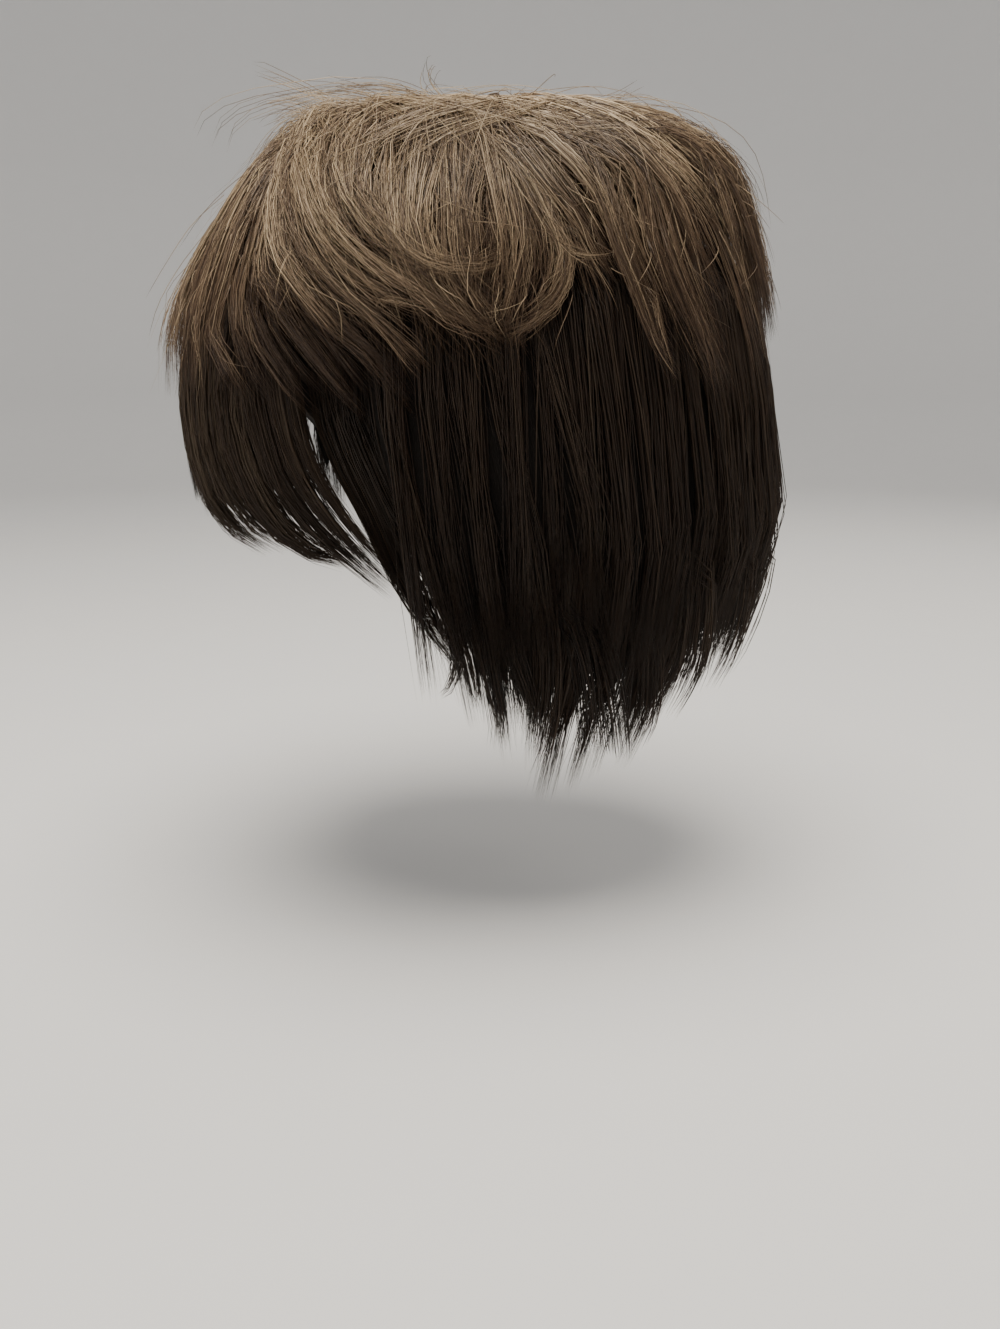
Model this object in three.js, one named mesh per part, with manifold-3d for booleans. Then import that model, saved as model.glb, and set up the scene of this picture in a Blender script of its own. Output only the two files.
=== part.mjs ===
import * as THREE from "three";
import { mergeVertices } from "three/addons/utils/BufferGeometryUtils.js";
import Module from "manifold-3d";

const wasm = await Module();
wasm.setup();
const { Manifold, Mesh } = wasm;

// Driving dimensions, in millimetres. The head goes in from below and the front of the wig is -Y.
const CAP_WALL = 2;
const CAP_COLUMNS = 32;
const CAP_STEPS = 8;
const SECTION_ROUNDNESS = 2.2;
const LOCK_SIDES = 6;
const LOCK_RINGS = 7;
const LEAN_CURVE = 1.8;

// Level sections from the crown down. Each row gives the cap and the outside of the hair at one level:
// the height, the reach to the front and to the back, and half the width.
// Below the edge of the cap the first four columns are the space kept free for the head and neck.
const SECTIONS = [
  { capZ: 2, capFront: 0, capBack: 0, capSide: 0, hairZ: 9, hairFront: 0, hairBack: 0, hairSide: 0 },
  { capZ: -2, capFront: 25, capBack: 26, capSide: 20, hairZ: 8.5, hairFront: 30, hairBack: 38, hairSide: 26 },
  { capZ: -14, capFront: 51, capBack: 52, capSide: 41, hairZ: 5, hairFront: 58, hairBack: 75, hairSide: 47 },
  { capZ: -32, capFront: 71, capBack: 72, capSide: 58, hairZ: -9, hairFront: 74, hairBack: 97, hairSide: 67 },
  { capZ: -54, capFront: 85, capBack: 86, capSide: 69, hairZ: -32, hairFront: 90, hairBack: 107, hairSide: 83 },
  { capZ: -78, capFront: 93, capBack: 94, capSide: 75, hairZ: -63, hairFront: 106, hairBack: 114, hairSide: 93 },
  { capZ: -101, capFront: 95, capBack: 96, capSide: 77, hairZ: -95, hairFront: 110, hairBack: 119, hairSide: 97 },
  { capZ: -130, capFront: 90, capBack: 92, capSide: 75, hairZ: -129, hairFront: 107, hairBack: 124, hairSide: 96 },
  { capZ: -165, capFront: 76, capBack: 79, capSide: 69, hairZ: -163, hairFront: 94, hairBack: 121, hairSide: 91 },
  { capZ: -200, capFront: 66, capBack: 64, capSide: 62, hairZ: -199, hairFront: 82, hairBack: 110, hairSide: 82 },
  { capZ: -240, capFront: 60, capBack: 54, capSide: 57, hairZ: -240, hairFront: 74, hairBack: 80, hairSide: 70 },
];

// The cap's edge round the head: azimuth in degrees from the front, and the section row it reaches.
const CAP_EDGE = [
  { azimuth: 0, row: 4.1 },
  { azimuth: 40, row: 4.7 },
  { azimuth: 68, row: 6.3 },
  { azimuth: 82, row: 6.5 },
  { azimuth: 100, row: 5.8 },
  { azimuth: 125, row: 6.9 },
  { azimuth: 155, row: 7.6 },
  { azimuth: 180, row: 7.7 },
];

// How deep each layer lies between the cap (0) and the outside of the hair (1), by section row.
const CROWN_DEPTH = [
  { row: 0, low: 0.04, high: 1 },
  { row: 2.1, low: 0.05, high: 1 },
  { row: 3.5, low: 0.68, high: 1 },
  { row: 7, low: 0.71, high: 1 },
];
const FRINGE_DEPTH = [
  { row: 2.4, low: 0.012, high: 0.08 },
  { row: 3.6, low: 0.045, high: 0.4 },
  { row: 4.6, low: 0.38, high: 0.61 },
  { row: 6.4, low: 0.42, high: 0.63 },
  { row: 7.2, low: 0.5, high: 0.96 },
  { row: 9, low: 0.55, high: 0.96 },
];
const BACK_DEPTH = [
  { row: 2.8, low: 0.015, high: 0.08 },
  { row: 4.1, low: 0.06, high: 0.42 },
  { row: 5.1, low: 0.38, high: 0.61 },
  { row: 6.4, low: 0.4, high: 0.63 },
  { row: 7.3, low: 0.48, high: 1 },
  { row: 9.2, low: 0.67, high: 1 },
];
const SIDE_DEPTH = [
  { row: 4.2, low: 0.03, high: 0.07 },
  { row: 5.3, low: 0.05, high: 0.3 },
  { row: 7, low: 0.06, high: 0.32 },
  { row: 8.6, low: 0.06, high: 0.5 },
  { row: 10, low: 0.06, high: 0.56 },
];
const NAPE_DEPTH = [
  { row: 4.8, low: 0.03, high: 0.07 },
  { row: 6.1, low: 0.05, high: 0.3 },
  { row: 7.2, low: 0.06, high: 0.34 },
  { row: 8.6, low: 0.06, high: 0.5 },
  { row: 10, low: 0.06, high: 0.56 },
];

// Locks: azimuth of the root, how far the lock leans round the head as it falls, its rows and half width.
const FRINGE_LOCKS = [
  { azimuth: -58, lean: 6, root: 2.9, tip: 7.3, half: 10 },
  { azimuth: -46, lean: 12, root: 2.8, tip: 7.0, half: 10.5 },
  { azimuth: -34, lean: 15, root: 2.7, tip: 7.2, half: 10.5 },
  { azimuth: -22, lean: 17, root: 2.7, tip: 6.8, half: 10.5 },
  { azimuth: -11, lean: 18, root: 2.7, tip: 7.0, half: 10.5 },
  { azimuth: 0, lean: 20, root: 2.7, tip: 6.8, half: 10.5 },
  { azimuth: 10, lean: 24, root: 2.7, tip: 7.05, half: 10.5 },
  { azimuth: 19, lean: 32, root: 2.8, tip: 7.3, half: 10 },
  { azimuth: 27, lean: 41, root: 2.9, tip: 7.5, half: 8 },
];
const SIDE_LOCKS = [
  { azimuth: 66, lean: 24, root: 4.7, tip: 8.5, half: 7 },
  { azimuth: 74, lean: 22, root: 4.6, tip: 8.9, half: 9 },
  { azimuth: 83, lean: 18, root: 4.5, tip: 9.15, half: 9 },
  { azimuth: 92, lean: 14, root: 4.5, tip: 9.35, half: 9 },
  { azimuth: 101, lean: 6, root: 4.6, tip: 9.2, half: 8 },
];
const BACK_LOCKS = { from: 83, to: 277, count: 13, root: 3.1, tip: 8.6, tipSpread: 0.45, half: 11, lean: 8 };
const NAPE_LOCKS = { from: 124, to: 236, count: 9, root: 5.1, tip: 9.45, tipSpread: 0.2, half: 9, lean: 1 };
const CROWN_LOCKS = { count: 18, root: 0.7, tip: 5.6, tipSpread: 0.6, half: 13.5, lean: 5 };

// Backing bands: azimuth range and section rows.
const FRINGE_BAND = { from: -64, to: 40, top: 2.85, bottom: 4.3, columns: 10, steps: 3 };
const SIDE_BAND = { from: 60, to: 110, top: 4.6, bottom: 5.7, columns: 6, steps: 2 };
const BACK_BAND = { from: 76, to: 284, top: 3.2, bottom: 5.2, columns: 20, steps: 3 };
const NAPE_BAND = { from: 116, to: 244, top: 5.2, bottom: 6.5, columns: 12, steps: 2 };
const CROWN_BAND = { bottom: 3.4, columns: 24, steps: 4 };
const BAND_SHARE = 0.62;

const radians = THREE.MathUtils.degToRad;
const mix = THREE.MathUtils.lerp;

// A repeatable spread between -1 and 1 for lock number n.
function spread(n, turn) {
  return Math.sin(n * 2.399 + turn) * 0.6 + Math.sin(n * 5.13 + turn * 1.7) * 0.4;
}

// A value from a table of rows, straight between them.
function fromTable(table, key, at, column) {
  const upper = table.findIndex((entry) => entry[key] > at);
  if (upper === 0) {
    return table[0][column];
  }
  if (upper < 0) {
    return table[table.length - 1][column];
  }
  const a = table[upper - 1];
  const b = table[upper];
  return mix(a[column], b[column], (at - a[key]) / (b[key] - a[key]));
}

// One column of the section table, drawn as a smooth curve through its rows.
function sectionValue(row, column) {
  const last = SECTIONS.length - 1;
  const at = THREE.MathUtils.clamp(row, 0, last);
  const i = Math.min(Math.floor(at), last - 1);
  const t = at - i;
  const value = (n) => SECTIONS[THREE.MathUtils.clamp(n, 0, last)][column];
  const before = i === 0 && !column.endsWith("Z") ? -value(1) : value(i === 0 ? 1 : i - 1);
  const [p1, p2, p3] = [value(i), value(i + 1), value(Math.min(i + 2, last))];
  const slopeA = (p2 - before) / 2;
  const slopeB = (p3 - p1) / 2;
  const cubic = 2 * p1 - 2 * p2 + slopeA + slopeB;
  const square = -3 * p1 + 3 * p2 - 2 * slopeA - slopeB;
  return ((cubic * t + square) * t + slopeA) * t + p1;
}

// A point of the wig from its azimuth in degrees, section row and depth.
function wigPoint(azimuth, row, depth) {
  const angle = radians(azimuth);
  const power = 2 / SECTION_ROUNDNESS;
  const across = Math.sign(Math.sin(angle)) * Math.abs(Math.sin(angle)) ** power;
  const along = Math.sign(Math.cos(angle)) * Math.abs(Math.cos(angle)) ** power;
  const end = along > 0 ? "Front" : "Back";
  const value = (part) => mix(sectionValue(row, `cap${part}`), sectionValue(row, `hair${part}`), depth);
  return new THREE.Vector3(value("Side") * across, -value(end) * along, value("Z"));
}

// A closed solid from a geometry whose points are moved by the given function.
function solidFrom(geometry, move) {
  const bare = new THREE.BufferGeometry();
  bare.setAttribute("position", geometry.attributes.position.clone());
  bare.setIndex(geometry.index.clone());
  const place = bare.attributes.position;
  const point = new THREE.Vector3();
  for (let i = 0; i < place.count; i += 1) {
    const moved = move(point.fromBufferAttribute(place, i));
    place.setXYZ(i, moved.x, moved.y, moved.z);
  }
  const merged = mergeVertices(bare, 1e-4);
  const triangles = [];
  const index = merged.index.array;
  for (let i = 0; i < index.length; i += 3) {
    const [a, b, c] = [index[i], index[i + 1], index[i + 2]];
    if (a !== b && b !== c && c !== a) {
      triangles.push(a, b, c);
    }
  }
  const solid = new Manifold(new Mesh({
    numProp: 3,
    vertProperties: new Float32Array(merged.attributes.position.array),
    triVerts: new Uint32Array(triangles),
  }));
  if (solid.volume() > 0) {
    return solid;
  }
  const mesh = solid.getMesh();
  return new Manifold(new Mesh({
    numProp: 3,
    vertProperties: mesh.vertProperties,
    triVerts: mesh.triVerts.map((v, n, all) => all[n - (n % 3) + 2 - (n % 3)]),
  }));
}

function meshFrom(solid, name, colour, roughness) {
  const { numProp, vertProperties, triVerts } = solid.getMesh();
  const points = new Float32Array((vertProperties.length / numProp) * 3);
  for (let i = 0; i < points.length / 3; i += 1) {
    points.set(vertProperties.subarray(i * numProp, i * numProp + 3), i * 3);
  }
  const geometry = new THREE.BufferGeometry();
  geometry.setAttribute("position", new THREE.BufferAttribute(points, 3));
  geometry.setIndex(new THREE.BufferAttribute(new Uint32Array(triVerts), 1));
  geometry.computeVertexNormals();
  const mesh = new THREE.Mesh(geometry, new THREE.MeshStandardMaterial({ color: colour, roughness, metalness: 0 }));
  mesh.name = name;
  return mesh;
}

// The cap: a hollow wall turned round the crown, its edge dipping at the ears and the nape.
function capSolid() {
  const profile = [];
  for (let i = 0; i <= CAP_STEPS; i += 1) {
    profile.push(new THREE.Vector2(i / CAP_STEPS, 0));
  }
  for (let i = CAP_STEPS; i >= 0; i -= 1) {
    profile.push(new THREE.Vector2(i / CAP_STEPS, -1));
  }
  const turned = new THREE.LatheGeometry(profile, CAP_COLUMNS);
  return solidFrom(turned, (p) => {
    const azimuth = THREE.MathUtils.radToDeg(Math.atan2(p.x, p.z));
    const share = Math.hypot(p.x, p.z);
    const row = share * fromTable(CAP_EDGE, "azimuth", Math.abs(azimuth), "row");
    const skin = wigPoint(azimuth, row, 0);
    if (p.y === 0) {
      return skin;
    }
    const reach = Math.hypot(skin.x, skin.y);
    const tilt = Math.min(share * 1.25, 1) * (Math.PI / 2);
    const inward = reach > 0 ? (CAP_WALL * Math.sin(tilt)) / reach : 0;
    return skin.set(skin.x * (1 - inward), skin.y * (1 - inward), skin.z - CAP_WALL * Math.cos(tilt));
  });
}

// One lock: a ball drawn out along its fall, wide below the root and thinning to a point.
function lockSolid({ azimuth, lean, root, tip, half }, depth) {
  const ball = new THREE.SphereGeometry(1, LOCK_SIDES, LOCK_RINGS);
  return solidFrom(ball, (p) => {
    const along = Math.acos(THREE.MathUtils.clamp(p.y, -1, 1)) / Math.PI;
    const round = Math.hypot(p.x, p.z);
    const across = round > 1e-6 ? p.x / round : 0;
    const out = round > 1e-6 ? p.z / round : 0;
    const row = mix(root, tip, along);
    const low = fromTable(depth, "row", row, "low");
    const high = fromTable(depth, "row", row, "high");
    const full = Math.min(1, along * 5) * (1 - along ** 5);
    const middle = mix(mix(low, high, 0.5), mix(low, high, 0.62), along);
    const thick = (high - low) * 0.49 * Math.min(1, full * 1.5);
    const heading = azimuth + lean * along ** LEAN_CURVE;
    return wigPoint(heading + across * half * full, row, middle + out * thick * (1 - 0.24 * along));
  });
}

// A backing band: a slab bent round the head at the inner side of its layer.
function bandSolid({ from, to, top, bottom, columns, steps }, depth) {
  const slab = new THREE.BoxGeometry(1, 1, 1, columns, steps, 1);
  return solidFrom(slab, (p) => {
    const row = mix(top, bottom, 0.5 - p.y);
    const low = fromTable(depth, "row", row, "low");
    const high = fromTable(depth, "row", row, "high");
    const share = mix(0.04, BAND_SHARE, p.z + 0.5);
    return wigPoint(mix(from, to, p.x + 0.5), row, mix(low, high, share));
  });
}

// The crown's backing: a dome over the top of the cap.
function crownBandSolid({ bottom, columns, steps }) {
  const profile = [];
  for (let i = 0; i <= steps; i += 1) {
    profile.push(new THREE.Vector2((bottom * i) / steps, 0.86));
  }
  for (let i = steps; i >= 0; i -= 1) {
    profile.push(new THREE.Vector2((bottom * i) / steps, 0.04));
  }
  const turned = new THREE.LatheGeometry(profile, columns);
  return solidFrom(turned, (p) => {
    const row = Math.hypot(p.x, p.z);
    const azimuth = THREE.MathUtils.radToDeg(Math.atan2(p.x, p.z));
    const low = fromTable(CROWN_DEPTH, "row", row, "low");
    const high = fromTable(CROWN_DEPTH, "row", row, "high");
    return wigPoint(azimuth, row, mix(low, high, p.y));
  });
}

// Locks set evenly from one azimuth to another, leaning away from the middle of the back.
function evenLocks({ from, to, count, root, tip, tipSpread, half, lean }, turn) {
  return Array.from({ length: count }, (_, i) => {
    const azimuth = mix(from, to, i / (count - 1));
    const toBack = (180 - azimuth) / 90;
    return {
      azimuth,
      lean: lean * THREE.MathUtils.clamp(toBack, -1, 1) + spread(i, turn),
      root,
      tip: tip + tipSpread * spread(i, turn),
      half,
    };
  });
}

function crownLocks({ count, root, tip, tipSpread, half, lean }) {
  return Array.from({ length: count }, (_, i) => ({
    azimuth: (360 * i) / count + 1.5 * spread(i, 1),
    lean: lean * spread(i, 2.2),
    root: root + 0.3 * spread(i, 4),
    tip: tip + tipSpread * spread(i, 0.4),
    half,
  }));
}

// A layer of hair: its locks fused to its band, without the small hollows closed in between them.
function layer(name, band, locks, depth, colour) {
  const fused = Manifold.union([band, ...locks.map((lock) => lockSolid(lock, depth))]);
  const shells = fused.decompose().sort((a, b) => b.volume() - a.volume());
  return meshFrom(shells[0], name, colour, 0.5);
}

const mirrored = ({ azimuth, lean, ...rest }, i) => ({
  ...rest,
  azimuth: -azimuth,
  lean: -lean + spread(i, 3),
});
const rightBand = { ...SIDE_BAND, from: -SIDE_BAND.to, to: -SIDE_BAND.from };

const wig = new THREE.Group();
wig.name = "wig";
wig.add(
  meshFrom(capSolid(), "cap", 0x1d1814, 0.9),
  layer("nape_hair", bandSolid(NAPE_BAND, NAPE_DEPTH), evenLocks(NAPE_LOCKS, 1.3), NAPE_DEPTH, 0x231a14),
  layer("side_hair_left", bandSolid(SIDE_BAND, SIDE_DEPTH), SIDE_LOCKS, SIDE_DEPTH, 0x2b2018),
  layer("side_hair_right", bandSolid(rightBand, SIDE_DEPTH), SIDE_LOCKS.map(mirrored), SIDE_DEPTH, 0x2b2018),
  layer("back_hair", bandSolid(BACK_BAND, BACK_DEPTH), evenLocks(BACK_LOCKS, 0.5), BACK_DEPTH, 0x382a1f),
  layer("fringe", bandSolid(FRINGE_BAND, FRINGE_DEPTH), FRINGE_LOCKS, FRINGE_DEPTH, 0x4a3829),
  layer("crown_hair", crownBandSolid(CROWN_BAND), crownLocks(CROWN_LOCKS), CROWN_DEPTH, 0x6b5540),
);

export default wig;
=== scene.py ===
import math

import bmesh
import bpy
import numpy as np
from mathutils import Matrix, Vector


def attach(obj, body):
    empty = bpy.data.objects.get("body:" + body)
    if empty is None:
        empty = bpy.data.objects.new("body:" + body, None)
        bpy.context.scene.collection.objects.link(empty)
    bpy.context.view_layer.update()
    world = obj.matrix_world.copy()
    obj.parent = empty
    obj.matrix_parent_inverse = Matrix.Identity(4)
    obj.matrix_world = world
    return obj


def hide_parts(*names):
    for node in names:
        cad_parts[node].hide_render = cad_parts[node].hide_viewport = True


bl_info = {
    "name": "Layered Wig",
    "version": (1, 0, 0),
    "blender": (4, 5, 0),
    "location": "View3D > Sidebar > Wig",
    "description": "Builds a short layered wig of loose strands on a hollow cap",
    "category": "Object",
}

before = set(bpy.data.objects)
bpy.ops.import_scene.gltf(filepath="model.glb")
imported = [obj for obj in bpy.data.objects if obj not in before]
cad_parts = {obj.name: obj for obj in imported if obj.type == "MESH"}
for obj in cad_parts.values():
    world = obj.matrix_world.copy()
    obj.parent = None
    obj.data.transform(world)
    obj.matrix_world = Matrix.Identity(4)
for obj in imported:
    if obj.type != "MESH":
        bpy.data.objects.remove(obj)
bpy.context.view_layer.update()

MM = 0.001
SIDES = (("left", 1), ("right", -1))

# The power of the level sections, which are ellipses at 2.
ROUNDNESS = 2.2

# The map that the finishes read, how wide a strand is on it, and the strands' tones there.
STRAND_MAP = "OFBake"
STRIP = 0.004
USUAL_TONE = 0.46
TONE_ENDS = (0.03, 0.97)

# Seeds of the strands. The pieces of two sides, and the parts of one layer, take seeds that follow on.
SEEDS = {
    "nape": 11, "nape_tip": 13, "side": 21, "back": 31, "back_tip": 33, "fringe": 41, "fringe_end": 42,
    "crown": 51, "swept": 61, "loose": 71,
}

# How the tufts and the single strands of a layer differ, in section rows, degrees and shares.
TUFT_REACH = 0.32
TUFT_TURN = 3.0
TUFT_DEPTH = 0.06
TUFT_TONE = 0.08
STRAND_REACH = (-0.1, 0.14)
STRAND_TONE = 0.16
# Painted shade: how much darker a strand's tone is for each share that it lies deeper in its layer.
DEPTH_SHADE = 0.3
EDGE_SHORTER = 0.2
LONGEST_REACH = 0.35
LOOSE_SHARE = 0.08
LOOSENESS = 3.0

# How strands in the drawn locks differ: wisps in a lock, the share, tone and width of the fine ones, and
# how far one may stand off in millimetres.
SWEPT_WISPS = 4
SWEPT_TONE = 0.2
FINE_SHARE = 0.4
FINE_TONE = 0.14
FINE_WIDTH = 0.5
LIFT_ENDS = (-2, 4.5)

# Loose strands: how many stand in a tuft, the highest place in millimetres, and their tones.
TUFT_STRANDS = 8
LOOSE_TOP = 22
LOOSE_TONES = (0.5, 0.95)

# How the tips along the lower edge lie.
TIP_KIND = {"steps": 5, "low": 0.6, "high": 1.35, "ragged": 0.08, "scatter": 0.6}

# Columns and rings of the balls that the cores and the cap are shaped from.
CORE_GRID = (14, 16)
DOME_GRID = (64, 24)
CAP_GRID = (96, 64)

# Where the locks of the crown are shorter: the middle and the width in degrees, and by how much.
SHORT_TEMPLE = (37, 9, 0.3)
SHORT_BACK = (140, 25, 0.2)

# The finishes: grooves round and along a core, streaks and hues across and along the strands, how the
# green and blue fall off faster than the red, and the threads and sewn rows of the cap.
# The level above which a core turns lighter, partly for the lighter top hair and partly as painted light on
# the lit top.
CROWN_LEVEL = -0.022
GROOVES = (90, 3)
STREAKS = (260, 4)
HUES = (700, 0.6)
STREAK_DEPTH = 0.3
WARM_FROM = 0.3
# Painted shade at the roots, which lie under other hair, fades out by this share of a strand's length.
ROOT_END = 0.35
# The tips darken from this share on, partly as the hair's own darker, redder tips and partly as painted shade
# on the lower hair; where roots and tips darken, the green and blue fall faster than the red.
TIP_START = 0.45
GREEN_FALL = 1.16
BLUE_FALL = 1.22
WALES = 220
COURSES = 160
SEWN_ROWS = 26
SEAM_EDGES = (0.75, 0.98)

# The middle of the wig, the point that the lights face, and the lights' places, sizes and colours.
WIG_MIDDLE = (0, 0.008, -0.09)
LIGHT_AIM = (0, 0.008, -0.1)
LIGHTS = {
    "Key": ((0.2, -0.03, 0.95), 0.9, (1, 0.93, 0.82)),
    "Fill": ((1.1, -0.7, 0.25), 1.2, (1, 0.97, 0.92)),
    "Rim": ((-0.7, 0.7, 0.6), 0.8, (1, 0.93, 0.82)),
}
SKY = (0.83, 0.82, 0.82, 1)
SKY_STRENGTH = 0.45

# The floor's outline as radius and height above it, and the view: millimetres, pixels, degrees and metres.
FLOOR_LINE = ((0, 0), (1.6, 0), (2.1, 0.12), (2.5, 0.6), (2.6, 2.4))
FLOOR_STEPS = 64
VIEW_SENSOR = 36
VIEW_FOCAL = 1250.0
VIEW_TALL = 1329.0
VIEW_PITCH = 14.08
VIEW_YAW = 1.0
VIEW_PLACE = (0.4897, 0.022, -0.075)

# Level sections from the crown down, in millimetres: the cap, and the outside of the hair.
SECTIONS = {
    "cap_z": (2, -2, -14, -32, -54, -78, -101, -130, -165, -200, -240),
    "cap_front": (0, 25, 51, 71, 85, 93, 95, 90, 76, 66, 60),
    "cap_back": (0, 26, 52, 72, 86, 94, 96, 92, 79, 64, 54),
    "cap_side": (0, 20, 41, 58, 69, 75, 77, 75, 69, 62, 57),
    "hair_z": (9, 8.5, 5, -9, -32, -63, -95, -129, -163, -199, -240),
    "hair_front": (0, 30, 58, 74, 90, 106, 110, 107, 94, 82, 74),
    "hair_back": (0, 38, 75, 97, 107, 114, 119, 124, 121, 110, 80),
    "hair_side": (0, 26, 47, 67, 83, 93, 97, 96, 91, 82, 70),
}

# The cap's edge: degrees from the front, and the section row that it reaches there.
CAP_EDGE = {
    "azimuth": (0, 40, 68, 82, 100, 125, 155, 180),
    "row": (4.1, 4.7, 6.3, 6.5, 5.8, 6.9, 7.6, 7.7),
}

# Where each layer lies between the cap (0) and the outside of the hair (1), by section row.
DEPTHS = {
    "crown_hair": {"row": (0, 2.1, 3.5, 7), "low": (0.04, 0.05, 0.68, 0.71), "high": (1, 1, 1, 1)},
    "fringe": {
        "row": (2.4, 3.6, 4.6, 5.3, 6.2, 7.2, 9),
        "low": (0.012, 0.045, 0.38, 0.4, 0.42, 0.5, 0.55),
        "high": (0.08, 0.4, 0.61, 0.65, 0.76, 0.82, 0.9),
    },
    "back_hair": {
        "row": (2.8, 3.9, 4.5, 5.2, 6.2, 7.3, 9.2),
        "low": (0.015, 0.06, 0.3, 0.38, 0.38, 0.36, 0.34),
        "high": (0.08, 0.55, 0.82, 0.86, 0.94, 1, 0.96),
    },
    "side_hair": {
        "row": (4.2, 5.3, 7, 8.6, 10),
        "low": (0.03, 0.05, 0.06, 0.06, 0.06),
        "high": (0.07, 0.3, 0.32, 0.5, 0.56),
    },
    "nape_hair": {
        "row": (4.8, 6.1, 7.2, 8.6, 10),
        "low": (0.03, 0.05, 0.06, 0.06, 0.06),
        "high": (0.07, 0.3, 0.34, 0.5, 0.56),
    },
}

# Locks: azimuth of the root, lean round the head in degrees, root and tip rows, half width in degrees.
LOCK_COLUMNS = ("azimuth", "lean", "root", "tip", "half")
FRINGE_LOCKS = (
    (-58, 6, 2.9, 7.3, 10),
    (-46, 12, 2.8, 7.0, 10.5),
    (-34, 15, 2.7, 7.2, 10.5),
    (-22, 17, 2.7, 6.8, 10.5),
    (-11, 18, 2.7, 7.0, 10.5),
    (0, 20, 2.7, 6.8, 10.5),
    (9, 22, 2.7, 6.9, 10),
)
SIDE_LOCKS = (
    (83, 18, 4.5, 9.15, 9),
    (92, 14, 4.5, 9.35, 9),
    (101, 8, 4.6, 9.3, 9),
    (110, 4, 4.7, 9.2, 9),
)

# How the top layer is combed: the lean to the back, in degrees, by the root's angle from the front.
CROWN_COMB = {
    "azimuth": (0, 20, 35, 45, 60, 75, 85, 95, 104, 115, 130, 150, 180),
    "lean": (2, 6, 12, 28, 30, 20, 10, 2, 8, 16, 22, 12, 0),
}

# Tiers of the top layer from the lowest up: the ring of locks (count, root and tip rows, spread of the tips,
# half width, lean and turn), its swirl in degrees, its share of the strands, and how they lie.
CROWN_TIERS = {
    "low": ((30, 1.2, 5.4, 0.5, 10, 5, 0), 0, 0.37, {"low": 0.1, "high": 0.75, "steps": 6}),
    "high": ((26, 0.2, 4.5, 0.6, 12, 6, 7), 0, 0.33, {"low": 0.55, "high": 0.95, "steps": 8}),
    # The whorl and the top tier are lighter and keep out of the darker tips: partly the lighter top hair, and
    # partly painted light on the top, which the light from above falls on.
    "whorl": (
        (16, -0.1, 2.5, 0.5, 15, 12, 11), 40, 0.1,
        {"low": 0.85, "high": 1.0, "steps": 8, "lighter": 0.15, "shade_to": 0.6},
    ),
    "top": (
        (22, 0.4, 3.2, 0.5, 16, 16, 5), 40, 0.19,
        {"low": 0.92, "high": 1.06, "steps": 6, "lighter": 0.24, "shade_to": 0.6},
    ),
}

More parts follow.
